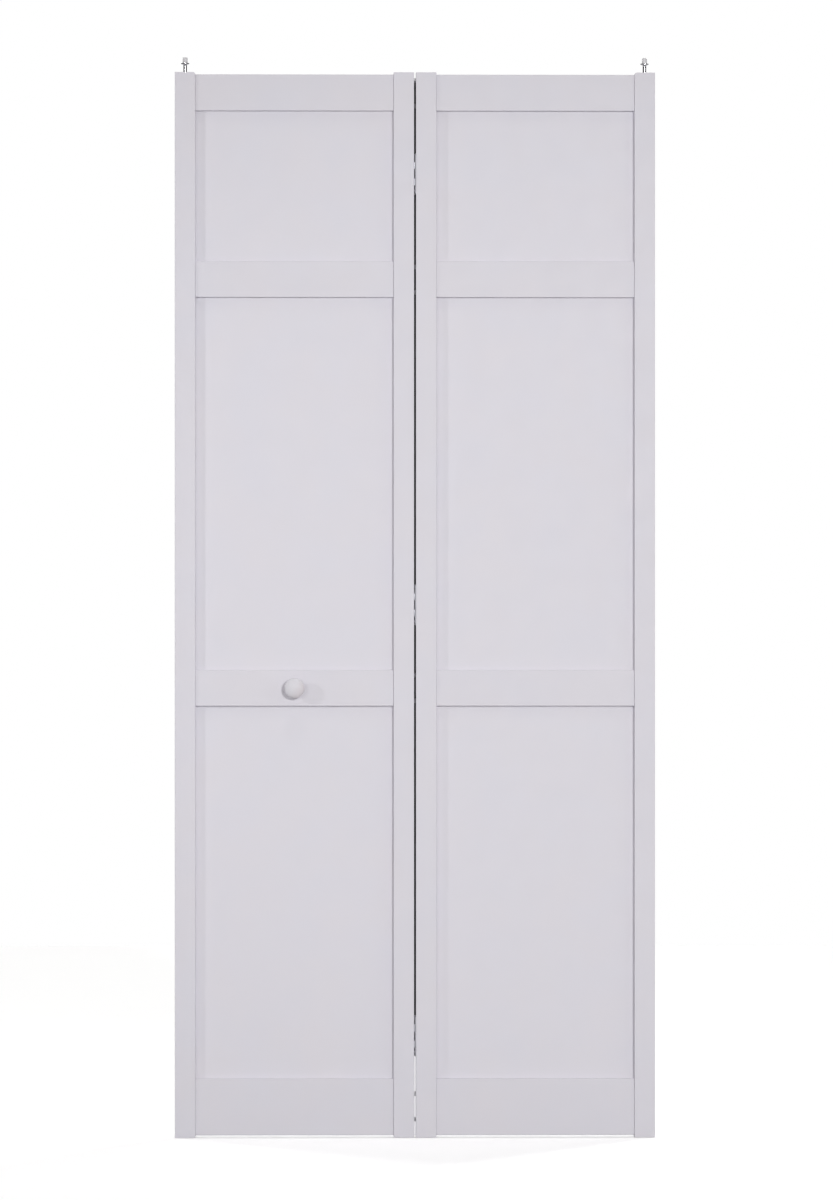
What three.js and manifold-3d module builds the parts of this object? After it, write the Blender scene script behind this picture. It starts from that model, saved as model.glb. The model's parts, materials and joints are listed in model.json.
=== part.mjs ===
// A white bifold closet door: a pivot leaf and a lead leaf joined by three hinges, with a sprung top pivot,
// a sprung track guide, a bottom pivot and a knob. Millimetres, +Z up, the front faces -Y.
// The origin is on the pivot axis at the underside of the bottom pivot.
import * as THREE from 'three';
import { mergeVertices } from 'three/addons/utils/BufferGeometryUtils.js';
import Module from 'manifold-3d';

const wasm = await Module();
wasm.setup();

// Sizes of the whole door
const leafWidth = 449.1;
const leafHeight = 2000;
const leafGap = 3.5;
const doorThickness = 28.6;

// Stiles, rails and panels
const stileWidth = 38.5;
const railThickness = 20.6;
const railInset = 4;
const topRailHeight = 68;
const middleRailHeight = 67.5;
const bottomRailHeight = 106;
const tallOpeningShare = 0.416;
const panelThickness = 4;
const grooveDepth = 6;
const grooveFit = 0.3;
const shoulderFit = 0.15;
const arrisRadius = 1.2;
const shoulderRadius = 4.5;
const tenonLength = 5;
const tenonHeight = 30;

// Screws that join the rails to the stiles
const railScrewSpacing = 48;
const railScrewLength = 70;
const railScrewRadius = 2.1;
const railScrewHeadRadius = 4.9;
const railScrewHeadHeight = 1.2;
const railScrewPointLength = 7;
const railScrewFit = 0.3;
const plugRadius = 5;
const plugDepth = 6;

// Hinges
const hingeHeight = 76.2;
const hingeEndDistance = 190;
const middleHingeRise = 122.4;
const hingeSetback = 3.6;
const hingeFrontMargin = 4;
const hingePlateThickness = 1.4;
const hingeSeatFit = 0.1;
const hingeStripDepth = 12;
const hingeCornerRadius = 2;
const knuckleCount = 5;
const knuckleRadius = 3;
const knuckleBoreRadius = 1.6;
const knuckleSideFit = 0.15;
const knuckleClearance = 0.4;
const hingePinRadius = 1.4;
const hingePinHeadRadius = 2.5;
const hingePinHeadHeight = 1;
const hingePinHeadFit = 0.2;
const hingeScrewRadius = 2.1;
const hingeScrewHeadRadius = 3.8;

// Sprung pins at the tops of the jamb stiles
const pinInset = 19;
const pinShaftRadius = 3.3;
const pinCollarRadius = 7.7;
const pinCollarThickness = 2;
const pinCollarTop = 17.9;
const pinFlareHeight = 3;
const pinSpigotRadius = 2.4;
const pinSpigotHeight = 7;
const pinFootRadius = 4.5;
const pinFootHeight = 3;
const pinEdge = 0.5;
const tipRadius = 4.7;
const tipTop = 28.5;
const pivotTipCrown = 1.9;
const rollerCrown = 0.8;
const pinFit = 0.3;
const sleeveRadius = 6;
const sleeveLength = 56;
const sleeveNeckHeight = 4;
const sleeveChamberRadius = 4.9;
const sleeveFloorThickness = 3;
const sleeveFit = 0.2;

// Springs under the sprung pins
const springWireRadius = 0.5;
const springCoilRadius = 3.7;
const springTurns = 10;
const springEndPitch = 1.6;
const springSeatFit = 0.3;

// Bottom pivot
const footRadius = 8;
const footToothDepth = 1.1;
const footTeeth = 14;
const footHeight = 6;
const bottomShaftRadius = 4.5;
const bottomShaftLength = 42;
const bottomPivotFit = 0.3;
const socketCupRadius = 10.2;
const socketBarrelRadius = 6.6;
const socketCupFloor = 3;
const socketRoof = 3;

// Knob
const knobRadius = 19.2;
const knobHeight = 27.5;
const knobWidestHeight = 17.5;
const knobUndersideHeight = 6;
const knobNeckRadius = 7.6;
const knobBaseRadius = 9.6;
const knobBaseHeight = 1.5;
const knobFlareHeight = 4;
const knobFit = 0.3;
const knobScrewRadius = 2;
const knobScrewReach = 15;
const knobScrewHeadRadius = 5.2;
const knobScrewHeadHeight = 2.6;

// How far a cutter runs past the face that it opens
const overrun = 2;

// Facets round a turned piece, a small turned piece, a knuckle, an arris, a hinge plate's corner, other round
// corners and the springs
const turnedSegments = 24;
const smallSegments = 10;
const knuckleSegments = 16;
const arrisSegments = 4;
const plateCornerSegments = 3;
const cornerSegments = 5;
const springStepsPerTurn = 8;
const springSides = 5;

// Places worked out from the sizes above
const hingeAxisX = pinInset - leafWidth - leafGap / 2;
const hingeAxisY = doorThickness / 2 + hingeSetback;
const pivotLeafX = pinInset - leafWidth / 2;
const leadLeafX = 2 * hingeAxisX - pivotLeafX;
const railLength = leafWidth - 2 * stileWidth - 2 * shoulderFit;
const grooveWidth = panelThickness + 2 * grooveFit;
const knuckleLength = hingeHeight / knuckleCount;
const hingePlateInner = leafGap / 2 - hingeSeatFit - hingePlateThickness;
const hingeReach = hingeAxisY + doorThickness / 2 - hingeFrontMargin;

const rails = layOutRails();
const openings = layOutOpenings(rails);

const paint = { color: 0xdcdae2, roughness: 0.55, metalness: 0 };
const knobPaint = { color: 0xe6e4e8, roughness: 0.5, metalness: 0 };
const nylon = { color: 0xdfe0e2, roughness: 0.45, metalness: 0 };
const zincSteel = { color: 0xa9abb2, roughness: 0.35, metalness: 1 };
const brightSteel = { color: 0xc4c6cb, roughness: 0.2, metalness: 1 };
const springSteel = { color: 0x8d9096, roughness: 0.3, metalness: 1 };

// The rails from bottom to top, each with its low and high edge. The middle and bottom openings are alike and
// have the same share of the height that the rails leave open, and the top opening has the rest
function layOutRails() {
  const bottomLow = railInset;
  const topHigh = leafHeight - railInset;
  const open = topHigh - bottomLow - bottomRailHeight - 2 * middleRailHeight - topRailHeight;
  const tallOpening = tallOpeningShare * open;
  const lockLow = bottomLow + bottomRailHeight + tallOpening;
  const upperLow = lockLow + middleRailHeight + tallOpening;
  return [
    { name: 'bottom_rail', low: bottomLow, high: bottomLow + bottomRailHeight },
    { name: 'lock_rail', low: lockLow, high: lockLow + middleRailHeight },
    { name: 'upper_rail', low: upperLow, high: upperLow + middleRailHeight },
    { name: 'top_rail', low: topHigh - topRailHeight, high: topHigh },
  ];
}

function railNamed(wanted) {
  return rails.find(({ name }) => name === wanted);
}

// The openings between neighbouring rails, which the panels fill
function layOutOpenings(list) {
  const names = ['bottom_panel', 'middle_panel', 'top_panel'];
  return names.map((name, index) => ({ name, low: list[index].high, high: list[index + 1].low }));
}

// A closed three.js geometry as a solid that can be joined and cut
function solid(geometry) {
  const bare = geometry.clone();
  bare.deleteAttribute('normal');
  bare.deleteAttribute('uv');
  const merged = mergeVertices(bare);
  const corners = merged.index.array;
  const kept = [];
  for (let i = 0; i < corners.length; i += 3) {
    const [a, b, c] = [corners[i], corners[i + 1], corners[i + 2]];
    if (a !== b && b !== c && c !== a) kept.push(a, b, c);
  }
  const vertProperties = new Float32Array(merged.attributes.position.array);
  return new wasm.Manifold(new wasm.Mesh({ numProp: 3, vertProperties, triVerts: new Uint32Array(kept) }));
}

// A solid as a three.js geometry with flat facets
function geometryOf(body) {
  const mesh = body.getMesh();
  const geometry = new THREE.BufferGeometry();
  geometry.setAttribute('position', new THREE.BufferAttribute(mesh.vertProperties, mesh.numProp));
  geometry.setIndex(new THREE.BufferAttribute(mesh.triVerts, 1));
  const facets = geometry.toNonIndexed();
  facets.computeVertexNormals();
  return facets;
}

function cutAll(body, cutters) {
  return cutters.reduce((left, cutter) => left.subtract(cutter), body);
}

// A named piece of one material
function piece(name, body, finish) {
  const mesh = new THREE.Mesh(geometryOf(body), new THREE.MeshStandardMaterial(finish));
  mesh.name = name;
  return mesh;
}

// A block between two corners
function block(low, high) {
  const size = high.map((value, axis) => value - low[axis]);
  const middle = high.map((value, axis) => (value + low[axis]) / 2);
  return solid(new THREE.BoxGeometry(...size).translate(...middle));
}

// A round bar along X, from one x to the other, through the point (y, z)
function barAlongX(radius, from, to, y, z) {
  const bar = new THREE.CylinderGeometry(radius, radius, to - from, smallSegments);
  return solid(bar.rotateZ(Math.PI / 2).translate((from + to) / 2, y, z));
}

// A round bar along Z at the given x
function barAlongZ(radius, low, high, x, segments) {
  const bar = new THREE.CylinderGeometry(radius, radius, high - low, segments);
  return solid(bar.rotateX(Math.PI / 2).translate(x, 0, (low + high) / 2));
}

// A turned piece about the Z axis, from profile points [radius, height] written from the foot up
function turned(profile, segments) {
  const points = profile.map(([radius, height]) => new THREE.Vector2(radius, height));
  return new THREE.LatheGeometry(points, segments).rotateX(Math.PI / 2);
}

// A quarter round of profile points about a centre, from one angle to another
function arc(centreR, centreZ, radius, from, to, steps) {
  const points = [];
  for (let step = 0; step <= steps; step += 1) {
    const angle = from + (to - from) * step / steps;
    points.push([centreR + radius * Math.cos(angle), centreZ + radius * Math.sin(angle)]);
  }
  return points;
}

// The section of a stile: a bar with eased corners and the panel groove in its -X edge
function stileSection() {
  const side = stileWidth / 2;
  const face = doorThickness / 2;
  const lip = grooveWidth / 2;
  const section = new THREE.Shape();
  section.moveTo(-side + arrisRadius, -face);
  section.lineTo(side - arrisRadius, -face);
  section.absarc(side - arrisRadius, -face + arrisRadius, arrisRadius, -Math.PI / 2, 0);
  section.lineTo(side, face - arrisRadius);
  section.absarc(side - arrisRadius, face - arrisRadius, arrisRadius, 0, Math.PI / 2);
  section.lineTo(-side + arrisRadius, face);
  section.absarc(-side + arrisRadius, face - arrisRadius, arrisRadius, Math.PI / 2, Math.PI);
  section.lineTo(-side, lip);
  section.lineTo(-side + grooveDepth, lip);
  section.lineTo(-side + grooveDepth, -lip);
  section.lineTo(-side, -lip);
  section.lineTo(-side, -face + arrisRadius);
  section.absarc(-side + arrisRadius, -face + arrisRadius, arrisRadius, Math.PI, 1.5 * Math.PI);
  return section;
}

// A stile with its groove towards -X, turned about Z by an angle, standing on z = 0
function stileBlank(angle) {
  const settings = { depth: leafHeight, bevelEnabled: false, curveSegments: arrisSegments };
  return solid(new THREE.ExtrudeGeometry(stileSection(), settings).rotateZ(angle));
}

// What is cut off the inner top corner of a jamb stile to round it
function topCornerCutter() {
  const inner = -stileWidth / 2;
  const centreX = inner + shoulderRadius;
  const centreZ = leafHeight - shoulderRadius;
  const corner = new THREE.Shape();
  corner.moveTo(inner - overrun, leafHeight + overrun);
  corner.lineTo(inner - overrun, centreZ);
  corner.lineTo(inner, centreZ);
  corner.absarc(centreX, centreZ, shoulderRadius, Math.PI, Math.PI / 2, true);
  corner.lineTo(centreX, leafHeight + overrun);
  const depth = doorThickness + 2 * overrun;
  const settings = { depth, bevelEnabled: false, curveSegments: cornerSegments };
  return solid(new THREE.ExtrudeGeometry(corner, settings).rotateX(Math.PI / 2).translate(0, depth / 2, 0));
}

// The heights of the screws at every rail end
function railScrewHeights() {
  return rails.flatMap(({ low, high }) => {
    const middle = (low + high) / 2;
    return [middle - railScrewSpacing / 2, middle + railScrewSpacing / 2];
  });
}

// The jamb stile: rounded inner top corner, plug holes over its screws, a bore for the sprung pin's sleeve
// and, where the leaf stands on the bottom pivot, a stepped bore for its socket
function jambStile(hasBottomPivot) {
  const side = stileWidth / 2;
  const pinX = side - pinInset;
  const boreRadius = sleeveRadius + sleeveFit;
  const boreLow = leafHeight - sleeveLength - sleeveFit;
  const sleeveBore = barAlongZ(boreRadius, boreLow, leafHeight + overrun, pinX, turnedSegments);
  const plugBores = railScrewHeights().map((height) =>
    barAlongX(plugRadius, side - plugDepth, side + overrun, 0, height));
  const cutters = [topCornerCutter(), sleeveBore, ...plugBores];
  if (hasBottomPivot) {
    const cupTop = socketCupHeight() + sleeveFit;
    const barrelTop = socketHeight() + sleeveFit;
    cutters.push(barAlongZ(socketCupRadius + sleeveFit, -overrun, cupTop, pinX, turnedSegments));
    cutters.push(barAlongZ(socketBarrelRadius + sleeveFit, -overrun, barrelTop, pinX, turnedSegments));
  }
  return cutAll(stileBlank(0), cutters);
}

// The hinge stile is the same bar turned round, so its groove faces +X
function hingeStile() {
  const side = stileWidth / 2;
  const bores = railScrewHeights().map((height) =>
    barAlongX(railScrewRadius + railScrewFit, -side - overrun, side + overrun, 0, height));
  return cutAll(stileBlank(Math.PI), bores);
}

// The section of a rail, y across and z up, with a panel groove in each edge that meets a panel
function railSection(height, grooveBelow, grooveAbove) {
  const face = railThickness / 2;
  const lip = grooveWidth / 2;
  const section = new THREE.Shape();
  section.moveTo(-face, arrisRadius);
  section.absarc(-face + arrisRadius, arrisRadius, arrisRadius, Math.PI, 1.5 * Math.PI);
  if (grooveBelow) {
    section.lineTo(-lip, 0);
    section.lineTo(-lip, grooveDepth);
    section.lineTo(lip, grooveDepth);
    section.lineTo(lip, 0);
  }
  section.lineTo(face - arrisRadius, 0);
  section.absarc(face - arrisRadius, arrisRadius, arrisRadius, -Math.PI / 2, 0);
  section.lineTo(face, height - arrisRadius);
  section.absarc(face - arrisRadius, height - arrisRadius, arrisRadius, 0, Math.PI / 2);
  if (grooveAbove) {
    section.lineTo(lip, height);
    section.lineTo(lip, height - grooveDepth);
    section.lineTo(-lip, height - grooveDepth);
    section.lineTo(-lip, height);
  }
  section.lineTo(-face + arrisRadius, height);
  section.absarc(-face + arrisRadius, height - arrisRadius, arrisRadius, Math.PI / 2, Math.PI);
  return section;
}

// A section in y and z drawn out along X, centred on x = 0
function drawnAlongX(section, length, curveSegments) {
  const drawn = new THREE.ExtrudeGeometry(section, { depth: length, bevelEnabled: false, curveSegments });
  const turn = new THREE.Matrix4().makeBasis(
    new THREE.Vector3(0, 1, 0), new THREE.Vector3(0, 0, 1), new THREE.Vector3(1, 0, 0));
  return drawn.applyMatrix4(turn).translate(-length / 2, 0, 0);
}

// The bore through a rail for the knob's screw, at the given height
function knobBore(z) {
  const radius = knobScrewRadius + knobFit;
  const bar = new THREE.CylinderGeometry(radius, radius, railThickness + 2 * overrun, smallSegments);
  return solid(bar.translate(0, 0, z));
}

// A rail with a stub tenon at each end, which seats in the stiles' grooves, and the bores for the screws
// on its hinge side and for the knob's screw
function rail({ low, high }, index, hasKnob) {
  const height = high - low;
  const section = railSection(height, index > 0, index < rails.length - 1);
  const bar = solid(drawnAlongX(section, railLength, arrisSegments).translate(0, 0, low));
  const reach = railLength / 2 + tenonLength;
  const middle = (low + high) / 2;
  const tenonLow = [-reach, -panelThickness / 2, middle - tenonHeight / 2];
  const tenonHigh = [reach, panelThickness / 2, middle + tenonHeight / 2];
  const depth = railScrewLength - stileWidth + overrun;
  const end = -railLength / 2;
  const bores = [middle - railScrewSpacing / 2, middle + railScrewSpacing / 2].map((z) =>
    barAlongX(railScrewRadius + railScrewFit, end - overrun, end + depth, 0, z));
  if (hasKnob) bores.push(knobBore(middle));
  return cutAll(bar.add(block(tenonLow, tenonHigh)), bores);
}

// A flat panel with its edges in the grooves all round
function panel({ low, high }) {
  const halfWidth = railLength / 2 + grooveDepth - grooveFit;
  const seat = grooveDepth - grooveFit;
  return block([-halfWidth, -panelThickness / 2, low - seat], [halfWidth, panelThickness / 2, high + seat]);
}

// A rail screw along +X with its low round head at x = 0
function railScrew() {
  const shaftEnd = railScrewLength - railScrewPointLength;
  const edge = railScrewHeadHeight / 2;
  const profile = [
    [0, -railScrewHeadHeight],
    [railScrewHeadRadius - edge, -railScrewHeadHeight],
    [railScrewHeadRadius, -railScrewHeadHeight + edge],
    [railScrewHeadRadius, 0],
    [railScrewRadius, 0],
    [railScrewRadius, shaftEnd],
    [0, railScrewLength],
  ];
  return solid(turned(profile, smallSegments).rotateY(Math.PI / 2));
}

// One leaf: its frame, its panels and the screws on the hinge side, with its jamb edge towards +X. The pivot
// leaf stands on the bottom pivot and the lead leaf has the knob on its lock rail
function leaf(prefix, isPivotLeaf) {
  const group = new THREE.Group();
  const stileX = (leafWidth - stileWidth) / 2;
  const outer = piece(`${prefix}_jamb_stile`, jambStile(isPivotLeaf), paint);
  outer.position.x = stileX;
  const inner = piece(`${prefix}_hinge_stile`, hingeStile(), paint);
  inner.position.x = -stileX;
  group.add(outer, inner);
  rails.forEach((place, index) => {
    const hasKnob = place.name === 'lock_rail' && !isPivotLeaf;
    group.add(piece(`${prefix}_${place.name}`, rail(place, index, hasKnob), paint));
  });
  openings.forEach((place) => group.add(piece(`${prefix}_${place.name}`, panel(place), paint)));
  railScrewHeights().forEach((height, index) => {
    const screw = piece(`${prefix}_rail_screw_${index + 1}`, railScrew(), zincSteel);
    screw.position.set(-leafWidth / 2 - shoulderFit, 0, height);
    group.add(screw);
  });
  return group;
}

// A straight edge up to a rounded corner that turns left about (x, y), and the corner
function roundCorner(outline, x, y, from) {
  outline.lineTo(x + hingeCornerRadius * Math.cos(from), y + hingeCornerRadius * Math.sin(from));
  outline.absarc(x, y, hingeCornerRadius, from, from + Math.PI / 2);
}

// The full plate, in distance from the hinge axis and height: a rectangle with eased front corners
function fullPlateOutline() {
  const end = hingeHeight / 2;
  const outline = new THREE.Shape();
  outline.moveTo(0, -end);
  roundCorner(outline, hingeReach - hingeCornerRadius, -end + hingeCornerRadius, -Math.PI / 2);
  roundCorner(outline, hingeReach - hingeCornerRadius, end - hingeCornerRadius, 0);
  outline.lineTo(0, end);
  return outline;
}

// The lobed plate: a narrow strip with a lobe at each of its knuckles
function lobedPlateOutline() {
  const end = hingeHeight / 2;
  const outline = new THREE.Shape();
  outline.moveTo(0, -end);
  outline.lineTo(hingeStripDepth, -end);
  for (let place = 1; place < knuckleCount; place += 2) {
    const low = place * knuckleLength - end;
    const high = low + knuckleLength;
    outline.lineTo(hingeStripDepth, low);
    roundCorner(outline, hingeReach - hingeCornerRadius, low + hingeCornerRadius, -Math.PI / 2);
    roundCorner(outline, hingeReach - hingeCornerRadius, high - hingeCornerRadius, 0);
    outline.lineTo(hingeStripDepth, high);
  }
  outline.lineTo(hingeStripDepth, end);
  outline.lineTo(0, end);
  return outline;
}

// A plate outline raised to its thickness on the +X or -X side of the hinge axis, reaching to the front
function raisedPlate(outline, side) {
  const settings = { depth: hingePlateThickness, bevelEnabled: false, curveSegments: plateCornerSegments };
  const turn = new THREE.Matrix4().makeBasis(
    new THREE.Vector3(0, -1, 0), new THREE.Vector3(0, 0, 1), new THREE.Vector3(-1, 0, 0));
  const plate = new THREE.ExtrudeGeometry(outline, settings).applyMatrix4(turn);
  const shift = side > 0 ? hingePlateInner + hingePlateThickness : -hingePlateInner;
  return solid(plate.translate(shift, 0, 0));
}

// A screw hole along X, widened to a countersink on the side of the gap
function countersunkHole(side, height) {
  const outer = hingePlateInner + hingePlateThickness;
  const through = barAlongX(hingeScrewRadius, -outer - overrun, outer + overrun, -hingeAxisY, height);
  const cone = new THREE.CylinderGeometry(hingeScrewRadius, hingeScrewHeadRadius, hingePlateThickness,
    smallSegments).rotateZ(-side * Math.PI / 2);
  const plateMiddle = hingePlateInner + hingePlateThickness / 2;
  return through.add(solid(cone.translate(side * plateMiddle, -hingeAxisY, height)));
}

// A hinge plate with knuckles at every other place, starting with the given one, and room between them for
// the other plate's knuckles
function hingePlate(outline, side, firstOwn) {
  const room = knuckleRadius + knuckleClearance;
  const holes = [barAlongZ(knuckleBoreRadius, -hingeHeight, hingeHeight, 0, knuckleSegments)];
  let plate = raisedPlate(outline, side);
  for (let place = 0; place < knuckleCount; place += 1) {
    const low = place * knuckleLength - hingeHeight / 2;
    const high = low + knuckleLength;
    if (place % 2 === firstOwn) {
      const own = barAlongZ(knuckleRadius, low + knuckleSideFit, high - knuckleSideFit, 0, knuckleSegments);
      plate = plate.add(own);
      holes.push(countersunkHole(side, (low + high) / 2));
    } else {
      const other = barAlongZ(room, low - knuckleSideFit, high + knuckleSideFit, 0, knuckleSegments);
      plate = plate.subtract(other);
    }
  }
  return cutAll(plate, holes);
}

// The hinge pin with a low head at each end
function hingePin() {
  const end = hingeHeight / 2 + hingePinHeadFit;
  const rim = hingePinHeadHeight / 2;
  const profile = [
    [0, -end - hingePinHeadHeight],
    [hingePinHeadRadius - rim, -end - hingePinHeadHeight],
    [hingePinHeadRadius, -end - rim],
    [hingePinHeadRadius, -end],
    [hingePinRadius, -end],
    [hingePinRadius, end],
    [hingePinHeadRadius, end],
    [hingePinHeadRadius, end + rim],
    [hingePinHeadRadius - rim, end + hingePinHeadHeight],
    [0, end + hingePinHeadHeight],
  ];
  return solid(turned(profile, smallSegments));
}

// The three hinges, from the bottom up. The middle one keeps its distance above the lock rail and its screws
function hinges() {
  const middle = railNamed('lock_rail').high + middleHingeRise;
  const heights = [hingeEndDistance, middle, leafHeight - hingeEndDistance];
  const group = new THREE.Group();
  heights.forEach((height, index) => {
    const hinge = new THREE.Group();
    const full = hingePlate(fullPlateOutline(), 1, 0);
    const lobed = hingePlate(lobedPlateOutline(), -1, 1);
    hinge.add(piece(`hinge_${index + 1}_full_plate`, full, zincSteel));
    hinge.add(piece(`hinge_${index + 1}_lobed_plate`, lobed, zincSteel));
    hinge.add(piece(`hinge_${index + 1}_pin`, hingePin(), zincSteel));
    hinge.position.set(hingeAxisX, hingeAxisY, height);
    group.add(hinge);
  });
  return group;
}

// The steel pin: a foot held under the sleeve's neck, a shaft, a flared collar and a spigot
function sprungPin() {
  const footTop = -sleeveNeckHeight - pinFit;
  const collarLow = pinCollarTop - pinCollarThickness;
  const profile = [
    [0, footTop - pinFootHeight],
    [pinFootRadius - pinEdge, footTop - pinFootHeight],
    [pinFootRadius, footTop - pinFootHeight + pinEdge],
    [pinFootRadius, footTop],
    [pinShaftRadius, footTop],
    [pinShaftRadius, collarLow - pinFlareHeight],
    [(pinShaftRadius + pinCollarRadius) / 2 - pinEdge, collarLow - pinFlareHeight / 3],
    [pinCollarRadius, collarLow + pinEdge],
    [pinCollarRadius, pinCollarTop - pinEdge],
    [pinCollarRadius - pinEdge, pinCollarTop],
    [pinSpigotRadius, pinCollarTop],
    [pinSpigotRadius, pinCollarTop + pinSpigotHeight],
    [0, pinCollarTop + pinSpigotHeight],
  ];
  return solid(turned(profile, turnedSegments));
}

// The nylon cap that turns on the spigot, with a flat top inside a rounded rim
function nylonCap(crown) {
  const low = pinCollarTop + pinFit;
  const boreRadius = pinSpigotRadius + pinFit;
  const boreTop = pinCollarTop + pinSpigotHeight + pinFit;
  const profile = [
    [0, boreTop],
    [boreRadius, boreTop],
    [boreRadius, low],
    [tipRadius, low],
    ...arc(tipRadius - crown, tipTop - crown, crown, 0, Math.PI / 2, cornerSegments),
    [0, tipTop],
  ];
  return solid(turned(profile, turnedSegments));
}

// The nylon sleeve in the stile: a neck round the shaft and a chamber for the pin's foot and the spring
function pinSleeve() {
  const neckRadius = pinShaftRadius + pinFit;
  const floor = -sleeveLength + sleeveFloorThickness;
  const profile = [
    [0, floor],
    [sleeveChamberRadius, floor],
    [sleeveChamberRadius, -sleeveNeckHeight],
    [neckRadius, -sleeveNeckHeight],
    [neckRadius, 0],
    [sleeveRadius, 0],
    [sleeveRadius, -sleeveLength + pinEdge],
    [sleeveRadius - pinEdge, -sleeveLength],
    [0, -sleeveLength],
  ];
  return solid(turned(profile.reverse(), turnedSegments));
}

// The points of the spring's centre line: closer turns at both ends, even ones between
function springPoints() {
  const low = -sleeveLength + sleeveFloorThickness + springSeatFit + springWireRadius;
  const high = -sleeveNeckHeight - pinFit - pinFootHeight - springSeatFit - springWireRadius;
  const middlePitch = (high - low - 2 * springEndPitch) / (springTurns - 2);
  const points = [];
  const steps = springTurns * springStepsPerTurn;
  for (let step = 0; step <= steps; step += 1) {
    const turn = step / springStepsPerTurn;
    const lowPart = Math.min(turn, 1) * springEndPitch;
    const middlePart = Math.min(Math.max(turn - 1, 0), springTurns - 2) * middlePitch;
    const highPart = Math.max(turn - springTurns + 1, 0) * springEndPitch;
    const point = new THREE.Vector3(springCoilRadius, 0, low + lowPart + middlePart + highPart);
    points.push(point.applyAxisAngle(new THREE.Vector3(0, 0, 1), 2 * Math.PI * turn));
  }
  return points;
}

// The least gap between the spring's wire and itself, measured a turn apart
function springGap(points) {
  let least = Infinity;
  points.forEach((point, index) => {
    for (let other = index + springStepsPerTurn / 2; other < points.length; other += 1) {
      least = Math.min(least, point.distanceTo(points[other]) - 2 * springWireRadius);
    }
  });
  return least;
}

// The spring as one unbroken tube of rings square to the helix, closed by a cap at each end
function spring() {
  const points = springPoints();
  const positions = [];
  const index = [];
  points.forEach((point, ring) => {
    const before = points[Math.max(ring - 1, 0)];
    const after = points[Math.min(ring + 1, points.length - 1)];
    const along = after.clone().sub(before).normalize();
    const outward = new THREE.Vector3(point.x, point.y, 0).normalize();
    const upward = new THREE.Vector3().crossVectors(along, outward).negate().normalize();
    for (let side = 0; side < springSides; side += 1) {
      const angle = 2 * Math.PI * side / springSides;
      const corner = point.clone();
      corner.addScaledVector(outward, springWireRadius * Math.cos(angle));
      corner.addScaledVector(upward, springWireRadius * Math.sin(angle));
      positions.push(corner.x, corner.y, corner.z);
    }
  });
  for (let ring = 0; ring < points.length - 1; ring += 1) {
    for (let side = 0; side < springSides; side += 1) {
      const a = ring * springSides + side;
      const b = ring * springSides + (side + 1) % springSides;
      index.push(a, b + springSides, b, a, a + springSides, b + springSides);
    }
  }
  const last = (points.length - 1) * springSides;
  for (let side = 1; side < springSides - 1; side += 1) {
    index.push(0, side, side + 1);
    index.push(last, last + side + 1, last + side);
  }
  const geometry = new THREE.BufferGeometry();
  geometry.setAttribute('position', new THREE.Float32BufferAttribute(positions, 3));
  geometry.setIndex(index);
  return solid(geometry);
}

// A sprung pin with its sleeve, spring and nylon cap, at the top of a jamb stile
function sprungPinSet(prefix, capName, crown, x) {
  const group = new THREE.Group();
  group.add(piece(`${prefix}_sleeve`, pinSleeve(), nylon));
  group.add(piece(`${prefix}_spring`, spring(), springSteel));
  group.add(piece(`${prefix}_pin`, sprungPin(), brightSteel));
  group.add(piece(capName, nylonCap(crown), nylon));
  group.position.set(x, 0, leafHeight);
  return group;
}

function socketCupHeight() {
  return footHeight + bottomPivotFit + socketCupFloor;
}

function socketHeight() {
  return footHeight + bottomShaftLength + bottomPivotFit + socketRoof;
}

// The nylon socket in the bottom of the pivot leaf: a cup for the pin's foot and a barrel for its shaft
function bottomSocket() {
  const cupTop = footHeight + bottomPivotFit;
  const boreTop = footHeight + bottomShaftLength + bottomPivotFit;
  const profile = [
    [0, boreTop],
    [bottomShaftRadius + bottomPivotFit, boreTop],
    [bottomShaftRadius + bottomPivotFit, cupTop],
    [footRadius + bottomPivotFit, cupTop],
    [footRadius + bottomPivotFit, 0],
    [socketCupRadius, 0],
    [socketCupRadius, socketCupHeight()],
    [socketBarrelRadius, socketCupHeight()],
    [socketBarrelRadius, socketHeight()],
    [0, socketHeight()],
  ];
  return solid(turned(profile, turnedSegments));
}

// The bottom pivot's pin: a toothed foot that a jamb bracket grips, and a shaft
function bottomPin() {
  const foot = new THREE.Shape();
  const corners = 2 * footTeeth;
  foot.moveTo(footRadius, 0);
  for (let corner = 1; corner < corners; corner += 1) {
    const radius = corner % 2 ? footRadius - footToothDepth : footRadius;
    const angle = 2 * Math.PI * corner / corners;
    foot.lineTo(radius * Math.cos(angle), radius * Math.sin(angle));
  }
  const disc = solid(new THREE.ExtrudeGeometry(foot, { depth: footHeight, bevelEnabled: false }));
  const shaftTop = footHeight + bottomShaftLength;
  const shaft = [
    [0, footHeight / 2],
    [bottomShaftRadius, footHeight / 2],
    [bottomShaftRadius, shaftTop - pinEdge],
    [bottomShaftRadius - pinEdge, shaftTop],
    [0, shaftTop],
  ];
  return disc.add(solid(turned(shaft, turnedSegments)));
}

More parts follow.
